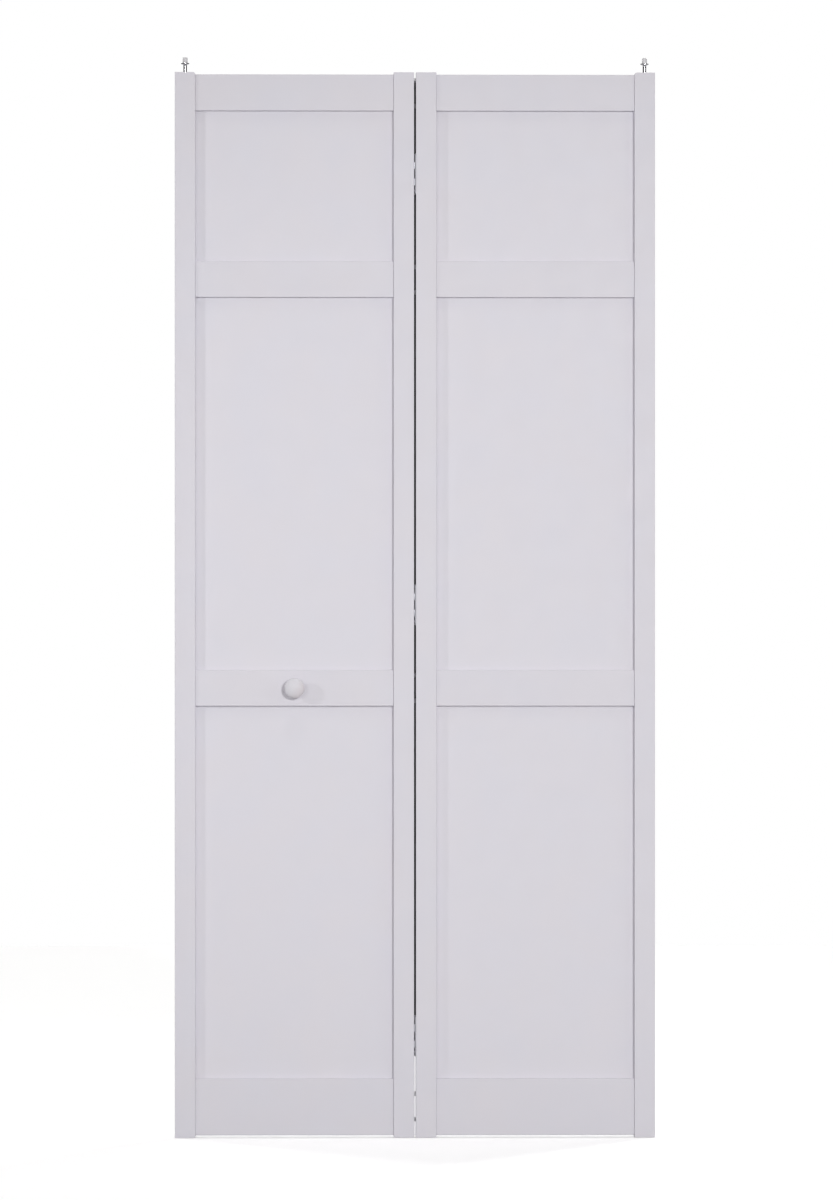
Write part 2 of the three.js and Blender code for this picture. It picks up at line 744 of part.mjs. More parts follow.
// The knob, turned about +Z here: a flared base, a neck and a round flattened head, with a bore for its screw
function knobBody() {
  const boreRadius = knobScrewRadius + knobFit;
  const boreTop = knobScrewReach + knobFit;
  const profile = [[0, boreTop], [boreRadius, boreTop], [boreRadius, 0], [knobBaseRadius, 0]];
  for (let step = 0; step <= cornerSegments; step += 1) {
    const share = step / cornerSegments;
    const swell = (knobBaseRadius - knobNeckRadius) * (1 - share) ** 2;
    profile.push([knobNeckRadius + swell, knobBaseHeight + knobFlareHeight * share]);
  }
  const headSteps = 2 * cornerSegments + 2;
  const start = -Math.acos(knobNeckRadius / knobRadius);
  for (let step = 0; step <= headSteps; step += 1) {
    const angle = start + (Math.PI / 2 - start) * step / headSteps;
    const rise = angle < 0 ? knobUndersideHeight : knobHeight - knobWidestHeight;
    const radius = step === headSteps ? 0 : knobRadius * Math.cos(angle);
    profile.push([radius, knobWidestHeight + rise * Math.sin(angle)]);
  }
  return turned(profile, turnedSegments);
}

// The screw that holds the knob from the back of the rail, along +Z here
function knobScrewBody() {
  const back = -railThickness - 2 * knobFit;
  const profile = [
    [0, back - knobScrewHeadHeight],
    [knobScrewHeadRadius / 2, back - knobScrewHeadHeight + pinEdge / 2],
    [knobScrewHeadRadius - pinEdge, back - knobScrewHeadHeight / 2],
    [knobScrewHeadRadius, back],
    [knobScrewRadius, back],
    [knobScrewRadius, knobScrewReach - pinEdge],
    [knobScrewRadius - pinEdge, knobScrewReach],
    [0, knobScrewReach],
  ];
  return turned(profile, smallSegments);
}

// The knob and its screw on the middle of the lead leaf's lock rail, pointing to the front
function knobSet() {
  const lockRail = railNamed('lock_rail');
  const group = new THREE.Group();
  const toFront = (geometry) => solid(geometry.rotateX(Math.PI / 2));
  group.add(piece('knob', toFront(knobBody()), knobPaint));
  group.add(piece('knob_screw', toFront(knobScrewBody()), zincSteel));
  group.position.set(leadLeafX, -railThickness / 2 - knobFit, (lockRail.low + lockRail.high) / 2);
  return group;
}

function door() {
  const whole = new THREE.Group();
  const pivotLeaf = leaf('pivot', true);
  pivotLeaf.position.x = pivotLeafX;
  const leadLeaf = leaf('lead', false);
  leadLeaf.position.x = leadLeafX;
  leadLeaf.rotation.z = Math.PI;
  whole.add(pivotLeaf, leadLeaf, hinges(), knobSet());
  whole.add(sprungPinSet('top_pivot', 'top_pivot_tip', pivotTipCrown, 0));
  whole.add(sprungPinSet('guide', 'guide_roller', rollerCrown, 2 * hingeAxisX));
  whole.add(piece('bottom_pivot_socket', bottomSocket(), nylon));
  whole.add(piece('bottom_pivot_pin', bottomPin(), zincSteel));
  return whole;
}

console.log(`least gap between spring turns: ${springGap(springPoints()).toFixed(2)} mm`);

export default door();
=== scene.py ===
"""The looks of a white bifold closet door: its paint, knob, hinges, sprung pins, screws and plugs."""

import json
import math

import bmesh
import bpy
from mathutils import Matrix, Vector

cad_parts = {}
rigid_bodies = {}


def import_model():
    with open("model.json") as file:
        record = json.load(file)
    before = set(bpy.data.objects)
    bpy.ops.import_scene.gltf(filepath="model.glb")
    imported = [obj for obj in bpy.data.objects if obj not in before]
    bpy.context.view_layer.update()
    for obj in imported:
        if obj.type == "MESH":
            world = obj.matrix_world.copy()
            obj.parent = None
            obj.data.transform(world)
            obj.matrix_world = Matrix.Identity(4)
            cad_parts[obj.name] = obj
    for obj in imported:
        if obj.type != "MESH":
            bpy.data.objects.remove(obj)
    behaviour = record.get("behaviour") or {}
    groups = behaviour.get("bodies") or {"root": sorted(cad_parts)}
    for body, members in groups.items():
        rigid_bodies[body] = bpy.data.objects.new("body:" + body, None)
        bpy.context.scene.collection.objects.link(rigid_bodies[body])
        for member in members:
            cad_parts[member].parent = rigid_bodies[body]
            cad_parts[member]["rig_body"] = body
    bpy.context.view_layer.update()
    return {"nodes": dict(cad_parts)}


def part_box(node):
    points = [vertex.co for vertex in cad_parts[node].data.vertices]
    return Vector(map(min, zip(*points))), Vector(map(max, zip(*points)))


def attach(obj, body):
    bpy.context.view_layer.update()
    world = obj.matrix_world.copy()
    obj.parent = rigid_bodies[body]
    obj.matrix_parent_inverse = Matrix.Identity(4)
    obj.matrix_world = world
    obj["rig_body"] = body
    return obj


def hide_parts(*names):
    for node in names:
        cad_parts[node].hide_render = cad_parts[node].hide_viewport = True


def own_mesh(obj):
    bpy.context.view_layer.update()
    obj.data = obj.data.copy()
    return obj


bl_info = {
    "name": "Bifold closet door",
    "version": (1, 0, 0),
    "blender": (4, 5, 0),
    "location": "3D View > Sidebar > Bifold door",
    "description": "Paints a bifold door and models its knob, hinges, sprung pins, screws and plugs",
    "category": "Object",
}

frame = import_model()

MM = 0.001
FULL_TURN = 2 * math.pi
QUARTER_TURN = math.pi / 2
WELD = 0.001 * MM
OVERRUN = 2 * MM

# Each leaf, and the side of it along X on which its jamb stile stands
LEAVES = {"pivot": 1, "lead": -1}
HINGES = (1, 2, 3)
RAIL_SCREWS = range(1, 9)
KNUCKLES = 5

SMOOTH_ANGLE = math.radians(35)
BEVEL_ANGLE = math.radians(50)
RECESS_TAPER = 0.55
KNOB_SIDES = 96
HEAD_SIDES = 48
KNUCKLE_SIDES = 40
SCREW_SIDES = 32

WHITE = (1.0, 1.0, 1.0, 1.0)
FLOOR_TONE = (0.9, 0.9, 0.9, 1.0)
FLOOR_TONE_AS_LIGHT = (0.36, 0.36, 0.36, 1.0)
# Painted shade in the gap between the leaves: a near-black sheet for the shade deep in the gap, and a grey
# see-through tint below for the shaded floor behind it
GAP_PAINTED_SHADE = (0.01, 0.01, 0.012, 1.0)
GAP_PAINTED_FLOOR_SHADE = (0.78, 0.77, 0.8, 1.0)

# Grey tones that polished metal mirrors, at shares of the way from the front of the room to its back
MIRRORED_TONES = ((0.0, 0.95), (0.04, 0.85), (0.08, 0.05), (0.88, 0.04), (0.97, 0.4), (1.0, 0.9))

# Distant lamps: name, direction of the source, strength, spread in degrees, tint, whether gloss shows it
NEUTRAL = (1.0, 1.0, 1.0)
WARM = (1.0, 0.93, 0.86)
DISTANT_LAMPS = (
    ("left_lamp", (-0.395, -1.0, 0.16), 0.19, 2.8, NEUTRAL, False),
    ("right_lamp", (2.4, -1.0, 0.9), 0.4, 50.0, NEUTRAL, False),
    ("overhead_lamp", (0.0, -1.0, 2.75), 0.24, 4.0, WARM, True),
    ("back_right_lamp", (1.0, 1.2, 0.8), 1.3, 12.0, NEUTRAL, True),
    ("back_left_lamp", (-1.1, 1.0, 0.6), 0.9, 12.0, NEUTRAL, True),
)


def length(name, description, default):
    """A property for a length."""
    return bpy.props.FloatProperty(
        name=name, description=description, default=default, unit="LENGTH", precision=5
    )


def number(name, description, default):
    """A property for a plain number."""
    return bpy.props.FloatProperty(name=name, description=description, default=default, precision=4)


def count(name, description, default):
    """A property for a whole number."""
    return bpy.props.IntProperty(name=name, description=description, default=default, min=1)


def angle(name, description, degrees):
    """A property for an angle."""
    return bpy.props.FloatProperty(
        name=name, description=description, default=math.radians(degrees), subtype="ANGLE"
    )


def colour(name, description, red, green, blue):
    """A property for a colour."""
    tint = (red, green, blue, 1.0)
    return bpy.props.FloatVectorProperty(
        name=name, description=description, default=tint, size=4, subtype="COLOR", min=0.0, max=1.0
    )


def place_in_room(name, description, x, y, z):
    """A property for a point or a direction."""
    return bpy.props.FloatVectorProperty(
        name=name, description=description, default=(x, y, z), size=3, subtype="XYZ"
    )


class PaintSettings(bpy.types.PropertyGroup):
    """The paint on the leaves and plugs."""

    cool: colour("Cool", "Colour of the cooler patches", 0.683, 0.668, 0.726)
    warm: colour("Warm", "Colour of the warmer patches", 0.693, 0.670, 0.718)
    roughness: number("Roughness", "Roughness of the satin paint", 0.5)
    patch: number("Patches", "Patches of colour along a metre", 9.0)
    peel: number("Orange peel", "Grains of orange peel along a metre", 420.0)
    peel_height: length("Orange peel height", "How high the orange peel stands", 0.02 * MM)
    panel_share: number("Panel share", "How much lighter the paint is on the smooth panels", 1.025)


class KnobSettings(bpy.types.PropertyGroup):
    """The turned knob on the lead leaf's lock rail."""

    cool: colour("Cool", "Colour of the knob's upper left", 0.695, 0.682, 0.724)
    # The warm colour is painted warm shade on the knob's shaded lower right
    warm: colour("Warm", "Colour of the knob's lower right, where it is handled most", 0.690, 0.648, 0.680)
    widest_height: length("Widest height", "Distance from the rail to the widest ring", 17.5 * MM)
    underside_height: length("Underside", "How far the underside curves back from the widest ring", 6 * MM)
    neck_radius: length("Neck radius", "Radius of the neck", 7.6 * MM)
    base_radius: length("Base radius", "Radius of the base against the rail", 9.6 * MM)
    base_height: length("Base height", "Height of the base's straight rim", 1.5 * MM)
    flare_height: length("Flare height", "Height of the sweep from the base to the neck", 4 * MM)
    rim: length("Rim", "Rounding of the base's rim", 0.4 * MM)
    bore_radius: length("Bore radius", "Radius of the bore for the screw", 2.3 * MM)
    bore_depth: length("Bore depth", "Depth of the bore for the screw", 15.3 * MM)


class PinSettings(bpy.types.PropertyGroup):
    """The sprung pins at the tops of the jamb stiles, with their tips, sleeves and springs."""

    shaft_radius: length("Shaft radius", "Radius of the steel shaft", 3.3 * MM)
    collar_thickness: length("Collar thickness", "Thickness of the collar's rim", 2 * MM)
    flare_height: length("Flare height", "Height of the sweep from the shaft to the collar", 3 * MM)
    spigot_radius: length("Spigot radius", "Radius of the spigot in the tip", 2.4 * MM)
    spigot_height: length("Spigot height", "Height of the spigot above the collar", 7 * MM)
    foot_radius: length("Foot radius", "Radius of the foot under the sleeve's neck", 4.5 * MM)
    foot_height: length("Foot height", "Height of the foot", 3 * MM)
    edge: length("Edge", "Rounding of the pin's edges", 0.4 * MM)
    fit: length("Fit", "Clearance round the spigot", 0.3 * MM)
    pivot_crown: length("Pivot tip crown", "Rounding of the top pivot's tip", 1.9 * MM)
    roller_crown: length("Roller crown", "Rounding of the guide roller", 0.8 * MM)
    chamber_radius: length("Chamber radius", "Radius of the sleeve's chamber", 4.9 * MM)
    neck_height: length("Neck height", "Height of the sleeve's neck", 4 * MM)
    floor_height: length("Floor height", "Thickness of the sleeve's floor", 3 * MM)
    wire_radius: length("Wire radius", "Radius of the spring's wire", 0.5 * MM)
    end_pitch: length("End pitch", "Rise of the spring's first and last turn", 1.6 * MM)
    turns: count("Turns", "Turns of the spring", 10)


class HingeSettings(bpy.types.PropertyGroup):
    """The three hinges between the leaves."""

    plate_thickness: length("Plate thickness", "Thickness of a hinge plate", 1.4 * MM)
    plate_inner: length("Plate distance", "Distance from the axis to a plate's inner face", 0.25 * MM)
    strip_depth: length("Strip depth", "Depth of the lobed plate's strip", 12 * MM)
    lobe_setback: length(
        "Lobe setback", "How far the lobes stop short of the full plate's front edge", 1.2 * MM
    )
    corner_radius: length("Corner radius", "Radius of a plate's front corners", 2 * MM)
    soft_edge: length("Soft edge", "Rounding of the pressed edges", 0.15 * MM)
    knuckle_radius: length("Knuckle radius", "Outer radius of a knuckle", 3 * MM)
    knuckle_fit: length("Knuckle fit", "Side clearance of a knuckle", 0.15 * MM)
    knuckle_room: length("Knuckle room", "Clearance round the other plate's knuckles", 0.4 * MM)
    knuckle_edge: length("Knuckle edge", "Rounding of a knuckle's ends", 0.25 * MM)
    bore_radius: length("Bore radius", "Radius of the knuckles' bore", 1.6 * MM)
    pin_radius: length("Pin radius", "Radius of the hinge pin", 1.4 * MM)
    pin_head_height: length("Pin head height", "Height of the pin's heads", 1 * MM)


class ScrewSettings(bpy.types.PropertyGroup):
    """Rail screws, hinge screws, the knob's screw and the plugs."""

    shaft_radius: length("Shaft radius", "Radius of a rail or hinge screw's shaft", 2.1 * MM)
    point_length: length("Point length", "Length of a rail screw's point", 7 * MM)
    rail_head_height: length("Rail screw head", "Height of a rail screw's low round head", 1.2 * MM)
    hinge_head_radius: length("Hinge screw head", "Radius of a hinge screw's flat head", 3.7 * MM)
    hinge_length: length("Hinge screw length", "Length of a hinge screw", 19 * MM)
    knob_shaft_radius: length("Knob screw radius", "Radius of the knob screw's shaft", 2 * MM)
    knob_head_height: length("Knob screw head", "Height of the knob screw's head", 2.6 * MM)
    recess_width: length("Recess width", "Width of a cross recess's slots", 1 * MM)
    recess_share: number("Recess share", "Length of a recess as a share of its head's width", 0.56)
    knob_recess: length("Knob screw recess", "Depth of the knob screw's recess", 1.6 * MM)
    rail_recess: length("Rail screw recess", "Depth of a rail screw's recess", 1.5 * MM)
    hinge_recess: length("Hinge screw recess", "Depth of a hinge screw's recess", 1.4 * MM)
    plug_radius: length("Plug radius", "Radius of a plug", 4.85 * MM)
    plug_depth: length("Plug depth", "Depth of a plug", 5.5 * MM)
    plug_crown: length("Plug crown", "How far a plug's rim lies below its middle", 0.25 * MM)


class BottomPivotSettings(bpy.types.PropertyGroup):
    """The bottom pivot's socket and toothed pin."""

    foot_height: length("Foot height", "Height of the toothed foot", 6 * MM)
    tooth_depth: length("Tooth depth", "Depth of the foot's teeth", 1.1 * MM)
    teeth: count("Teeth", "Teeth round the foot", 14)
    shaft_radius: length("Shaft radius", "Radius of the pin's shaft", 4.5 * MM)
    fit: length("Fit", "Clearance round the pin", 0.3 * MM)
    barrel_radius: length("Barrel radius", "Outer radius of the socket's barrel", 6.6 * MM)
    cup_floor: length("Cup floor", "Thickness of the cup above the foot", 3 * MM)
    roof: length("Roof", "Thickness of the barrel above the shaft", 3 * MM)
    edge: length("Edge", "Rounding of the edges", 0.4 * MM)


class MetalSettings(bpy.types.PropertyGroup):
    """The metals and the nylon."""

    zinc: colour("Zinc", "Colour of the zinc-plated hinges and screws", 0.44, 0.44, 0.48)
    bright: colour("Bright steel", "Colour of the sprung pins", 0.5, 0.5, 0.52)
    spring: colour("Spring steel", "Colour of the springs", 0.36, 0.36, 0.38)
    nylon: colour("Nylon", "Colour of the tips, rollers, sleeves and socket", 0.70, 0.69, 0.71)


class StudioSettings(bpy.types.PropertyGroup):
    """The floor, the lamps and the camera."""

    camera_distance: length("Camera distance", "Distance from the camera to the door's face", 9.0)
    aim_x: length("Aim X", "Where the camera points, along the door's width", -0.4291)
    aim_z: length("Aim Z", "Where the camera points, above the floor", 1.0092)
    lens: number("Lens", "Focal length of the lens in millimetres", 143.82)
    sensor: number("Sensor", "Long side of the sensor in millimetres", 36.0)
    yaw: angle("Yaw", "How far the camera turns towards the pivot side", 0.74)
    key_place: place_in_room("Key place", "Where the key lamp stands", 3.40, -14.0, 3.64)
    key_aim: place_in_room("Key aim", "Where the key lamp points", -0.10, 0.0, 0.90)
    key_power: number("Key power", "Power of the key lamp in watts", 3050.0)
    key_radius: length("Key radius", "Radius of the key lamp", 0.25)
    key_beam: angle("Key beam", "Full angle of the key lamp's beam, which fades from its middle", 16.8)
    side_place: place_in_room("Side place", "Where the small lamp at the left stands", -3.05, -1.4, 1.65)
    side_power: number("Side power", "Power of the side lamp in watts", 54.0)
    side_radius: length("Side radius", "Radius of the side lamp", 0.065)
    fill_place: place_in_room("Fill place", "Where the wide fill lamp hangs", -0.90, -6.0, 1.6)
    fill_width: length("Fill width", "Width of the fill lamp", 6.0)
    fill_height: length("Fill height", "Height of the fill lamp", 2.8)
    fill_power: number("Fill power", "Power of the fill lamp in watts", 50.0)
    ambient: number("Ambient", "Strength of the light from all round", 0.28)
    floor_size: length("Floor size", "Side of the floor", 10.0)
    floor_drop: length("Floor drop", "How far the floor lies under the door", 1 * MM)
    floor_glow: number("Floor glow", "Whiteness that the camera sees on top of the floor's light", 0.36)
    # The strip in the gap is painted shade: dark above the foot, a pale grey tint below it
    gap_depth: length("Gap depth", "Where the dark strip in the gap lies behind the leaf's middle", 9 * MM)
    gap_low: length("Gap foot", "Where the dark part of the gap starts", 0.155)
    gap_high: length("Gap top", "Where the dark part of the gap ends", 1.986)


def select_only(piece):
    """Leave edit mode and select one piece, or nothing, so that an operator acts on it alone."""
    if bpy.context.mode != "OBJECT":
        bpy.ops.object.mode_set(mode="OBJECT")
    bpy.ops.object.select_all(action="DESELECT")
    if piece is not None:
        piece.select_set(True)
        bpy.context.view_layer.objects.active = piece


def edit(piece):
    """Open one piece in edit mode with all its corners selected."""
    select_only(piece)
    bpy.ops.object.mode_set(mode="EDIT")
    bpy.ops.mesh.select_mode(type="VERT")
    bpy.ops.mesh.select_all(action="SELECT")


def new_primitive(name, add, **settings):
    """Add a primitive at the origin, name it and open it in edit mode."""
    select_only(None)
    add(location=(0, 0, 0), **settings)
    piece = bpy.context.object
    piece.name = name
    edit(piece)
    return piece


def pick(piece, kind, test):
    """Select the open piece's faces or edges whose middle and direction pass the test."""
    bpy.ops.mesh.select_mode(type=kind)
    bpy.ops.mesh.select_all(action="DESELECT")
    mesh = bmesh.from_edit_mesh(piece.data)
    mesh.normal_update()
    if kind == "FACE":
        for face in mesh.faces:
            face.select_set(test(face.calc_center_median(), face.normal))
    else:
        for edge in mesh.edges:
            start, end = (corner.co for corner in edge.verts)
            edge.select_set(test((start + end) / 2, (end - start).normalized()))
    bmesh.update_edit_mesh(piece.data)


def close_up(piece):
    """Merge doubles, point the normals outwards and leave edit mode."""
    edit(piece)
    bpy.ops.mesh.remove_doubles(threshold=WELD)
    bpy.ops.mesh.normals_make_consistent(inside=False)
    bpy.ops.object.mode_set(mode="OBJECT")


def drawn_line(name, places):
    """A line that is drawn out from one corner through the places, open in edit mode."""
    piece = new_primitive(name, bpy.ops.mesh.primitive_plane_add, size=1)
    bpy.ops.mesh.merge(type="CENTER")
    bpy.ops.transform.translate(value=places[0])
    for before, after in zip(places, places[1:]):
        bpy.ops.mesh.extrude_vertices_move(TRANSFORM_OT_translate={"value": after - before})
    return piece


def turned(name, profile, steps=64):
    """A piece turned about Z from a profile of (radius, height) points."""
    piece = drawn_line(name, [Vector((radius, 0, height)) for radius, height in profile])
    bpy.ops.mesh.select_all(action="SELECT")
    bpy.ops.mesh.spin(steps=steps, angle=FULL_TURN, center=(0, 0, 0), axis=(0, 0, 1))
    close_up(piece)
    return piece


def block(name, low, high):
    """A block between two corners, left open in edit mode."""
    low, high = Vector(low), Vector(high)
    piece = new_primitive(name, bpy.ops.mesh.primitive_cube_add, size=1)
    bpy.ops.transform.resize(value=high - low, center_override=(0, 0, 0))
    bpy.ops.transform.translate(value=(low + high) / 2)
    return piece


def arc(centre_radius, centre_height, size, start, end, steps=8):
    """Profile points on a round of the given size, from one angle in degrees to another."""
    angles = [math.radians(start + (end - start) * step / steps) for step in range(steps + 1)]
    return [(centre_radius + size * math.cos(a), centre_height + size * math.sin(a)) for a in angles]


def bar_profile(radius, low, high, edge):
    """The profile of a bar with rounded rims, from the foot up."""
    return [
        (0, low),
        *arc(radius - edge, low + edge, edge, -90, 0),
        *arc(radius - edge, high - edge, edge, 0, 90),
        (0, high),
    ]


def apply_modifier(piece, kind, **settings):
    """Add a modifier with these settings and apply it."""
    select_only(piece)
    bpy.ops.object.modifier_add(type=kind)
    modifier = piece.modifiers[-1]
    for setting, value in settings.items():
        setattr(modifier, setting, value)
    bpy.ops.object.modifier_apply(modifier=modifier.name)


def combine(piece, other, operation):
    """Join or cut a piece with another one, which is used up."""
    apply_modifier(piece, "BOOLEAN", object=other, operation=operation, solver="EXACT")
    bpy.data.objects.remove(other)


def soften(piece, width, segments=2):
    """Round a piece's sharp edges."""
    limits = {"limit_method": "ANGLE", "angle_limit": BEVEL_ANGLE}
    apply_modifier(piece, "BEVEL", width=width, segments=segments, **limits)


def copied(piece, name):
    """A copy of a piece with a mesh of its own."""
    select_only(piece)
    bpy.ops.object.duplicate(linked=False)
    copy = bpy.context.object
    copy.name = name
    return copy


def put(piece, location, turn=(0, 0, 0)):
    """Turn a piece and move it to its place, and keep that in its mesh."""
    piece.location = location
    piece.rotation_euler = turn
    select_only(piece)
    bpy.ops.object.transform_apply(location=True, rotation=True, scale=True)


def finish_piece(piece, material, node, replaces=True):
    """Shade a piece, give it its material and let it ride on its node's body, mostly in the node's place."""
    select_only(piece)
    bpy.ops.object.shade_smooth_by_angle(angle=SMOOTH_ANGLE)
    piece.data.materials.clear()
    piece.data.materials.append(bpy.data.materials[material])
    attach(piece, frame["nodes"][node]["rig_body"])
    if replaces:
        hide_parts(node)


def middle_of(node):
    """The middle of a node's box."""
    low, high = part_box(node)
    return (low + high) / 2


def cross_recess(piece, settings, head_radius, depth):
    """Cut a tapered cross into a screw's head, which faces down."""
    low = box_of(piece)[0]
    reach = head_radius * settings.recess_share
    half = settings.recess_width / 2
    for turn in (0, QUARTER_TURN):
        cutter = block("recess_cutter", (-reach, -half, low.z - OVERRUN), (reach, half, low.z + depth))
        pick(cutter, "FACE", lambda middle, normal: normal.z > 0.9)
        bpy.ops.transform.resize(value=(RECESS_TAPER, RECESS_TAPER, 1), center_override=(0, 0, low.z + depth))
        bpy.ops.object.mode_set(mode="OBJECT")
        put(cutter, (0, 0, 0), (0, 0, turn))
        combine(piece, cutter, "DIFFERENCE")


def box_of(piece):
    """The lowest and highest corner of a new piece."""
    corners = [corner.co for corner in piece.data.vertices]
    low = Vector([min(corner[axis] for corner in corners) for axis in range(3)])
    high = Vector([max(corner[axis] for corner in corners) for axis in range(3)])
    return low, high


def emptied_tree(owner):
    """The node tree of a material or world, without its nodes."""
    owner.use_nodes = True
    owner.node_tree.nodes.clear()
    return owner.node_tree


def set_inputs(node, inputs):
    """Give a node's inputs their values, or link them to the outputs of other nodes."""
    for name, value in inputs.items():
        if isinstance(value, bpy.types.NodeSocket):
            node.id_data.links.new(value, node.inputs[name])
        else:
            node.inputs[name].default_value = value


def add_node(tree, kind, inputs=None, **settings):
    """A new shader node with its settings and inputs."""
    node = tree.nodes.new(f"ShaderNode{kind}")
    for setting, value in settings.items():
        setattr(node, setting, value)
    set_inputs(node, inputs or {})
    return node


def calculated(tree, operation, first, second):
    """The result of a Math node."""
    return add_node(tree, "Math", {0: first, 1: second}, operation=operation).outputs["Value"]


def shader_tree(name):
    """A new material with a Principled shader, and its tree, shader and Object coordinates."""
    if name in bpy.data.materials:
        raise ValueError(f"There is a material named {name} already")
    material = bpy.data.materials.new(name)
    tree = emptied_tree(material)
    shader = add_node(tree, "BsdfPrincipled")
    add_node(tree, "OutputMaterial", {"Surface": shader.outputs["BSDF"]})
    return material, tree, shader, add_node(tree, "TexCoord").outputs["Object"]


def noise(tree, coordinates, scale, detail=2.0, stretch=(1, 1, 1)):
    """A noise pattern on Object coordinates, stretched by a Mapping node."""
    stretched = add_node(tree, "Mapping", {"Vector": coordinates, "Scale": stretch}).outputs["Vector"]
    return add_node(tree, "TexNoise", {"Vector": stretched, "Scale": scale, "Detail": detail}).outputs["Fac"]


def spread(tree, value, low, high):
    """Spread a noise's middle range over the range from low to high."""
    limits = {"Value": value, "From Min": 0.3, "From Max": 0.7, "To Min": low, "To Max": high}
    return add_node(tree, "MapRange", limits).outputs["Result"]


def blended(tree, factor, first, second):
    """A colour between two, by a factor from 0 to 1."""
    inputs = {"Factor": factor, "A": first, "B": second}
    return add_node(tree, "Mix", inputs, data_type="RGBA").outputs["Result"]


def bumped(tree, height, distance, below=None):
    """A bump of the given height, on top of another bump where there is one."""
    inputs = {"Height": height, "Strength": 1.0, "Distance": distance}
    if below is not None:
        inputs["Normal"] = below
    return add_node(tree, "Bump", inputs).outputs["Normal"]


def shade_of(base, share):
    """A colour scaled by a share, with its alpha kept."""
    return (base[0] * share, base[1] * share, base[2] * share, 1.0)


def satin_paint(name, settings, share):
    """Satin paint: faint cool and warm patches, slow waves of the spray coat and a fine orange peel."""
    tree, shader, coordinates = shader_tree(name)[1:]
    patches = spread(tree, noise(tree, coordinates, settings.patch), 0, 1)
    sheen = noise(tree, coordinates, 3 * settings.patch)
    waves = bumped(tree, noise(tree, coordinates, 4 * settings.patch), settings.peel_height)
    set_inputs(shader, {
        "Base Color": blended(tree, patches, shade_of(settings.cool, share), shade_of(settings.warm, share)),
        "Roughness": spread(tree, sheen, settings.roughness, settings.roughness + 0.08),
        "Normal": bumped(tree, noise(tree, coordinates, settings.peel), settings.peel_height, waves),
    })


def knob_enamel(settings):
    """White enamel with painted warm shade, darker and warmer towards its lower right, the knob's shaded
    side, and fine ripples.
    """
    tree, shader, coordinates = shader_tree("knob_enamel")[1:]
    low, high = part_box("knob")
    width = high.x - low.x
    # Painted shade: the colour turns darker and warmer towards the knob's lower right, its shaded side
    towards_shade = (0.8, 0.0, -0.6)
    across = add_node(tree, "VectorMath", {0: coordinates, 1: (low + high) / 2}, operation="SUBTRACT")
    inputs = {0: across.outputs["Vector"], 1: towards_shade}
    along = add_node(tree, "VectorMath", inputs, operation="DOT_PRODUCT").outputs["Value"]
    shaded = add_node(tree, "MapRange", {"Value": along, "From Min": -0.1 * width, "From Max": 0.35 * width})
    set_inputs(shader, {
        "Base Color": blended(tree, shaded.outputs["Result"], settings.cool, settings.warm),
        "Roughness": spread(tree, noise(tree, coordinates, 140), 0.58, 0.68),
        "Normal": bumped(tree, noise(tree, coordinates, 700), 0.01 * MM),
    })


def metal(name, base, roughness, grain, depth, stretch=(1, 1, 1)):
    """Steel with a fine grain of some depth, faint tarnish and uneven gloss."""
    tree, shader, coordinates = shader_tree(name)[1:]
    tarnish = spread(tree, noise(tree, coordinates, 90, 4), 0, 1)
    grains = noise(tree, coordinates, grain, 3, stretch)
    set_inputs(shader, {
        "Metallic": 1.0,
        "Base Color": blended(tree, tarnish, base, shade_of(base, 0.88)),
        "Roughness": spread(tree, grains, roughness, 1.5 * roughness),
        "Normal": bumped(tree, grains, depth),
    })


def moulded_nylon(base):
    """Moulded nylon: milky, with flow marks and a fine spark texture."""
    tree, shader, coordinates = shader_tree("moulded_nylon")[1:]
    flow = spread(tree, noise(tree, coordinates, 180, 3, (1, 1, 0.3)), 0, 1)
    set_inputs(shader, {
        "Base Color": blended(tree, flow, base, shade_of(base, 0.94)),
        "Roughness": spread(tree, noise(tree, coordinates, 400), 0.38, 0.5),
        "Normal": bumped(tree, noise(tree, coordinates, 1500), 0.015 * MM),
    })


class DOOR_OT_make_materials(bpy.types.Operator):
    """Make the paint, the knob's enamel, the metals and the nylon."""

    bl_idname = "door.make_materials"
    bl_label = "Make materials"

    def execute(self, context):
        metals = context.scene.door_metals
        paint = context.scene.door_paint
        satin_paint("satin_paint", paint, 1)
        satin_paint("panel_paint", paint, paint.panel_share)
        knob_enamel(context.scene.door_knob)
        metal("zinc_plate", tuple(metals.zinc), roughness=0.34, grain=900, depth=0.01 * MM)
        turned_grain = (0.1, 0.1, 1)
        metal("bright_steel", tuple(metals.bright), 0.14, 1200, 0.002 * MM, turned_grain)
        metal("spring_wire", tuple(metals.spring), roughness=0.26, grain=1500, depth=0.01 * MM)
        moulded_nylon(tuple(metals.nylon))
        return {"FINISHED"}


class DOOR_OT_paint_leaves(bpy.types.Operator):
    """Paint the stiles, rails and panels."""

    bl_idname = "door.paint_leaves"
    bl_label = "Paint leaves"

    def execute(self, context):
        for name, node in frame["nodes"].items():
            if name.endswith(("_stile", "_rail")):
                node.material_slots[0].material = bpy.data.materials["satin_paint"]
            elif name.endswith("_panel"):
                node.material_slots[0].material = bpy.data.materials["panel_paint"]
        return {"FINISHED"}


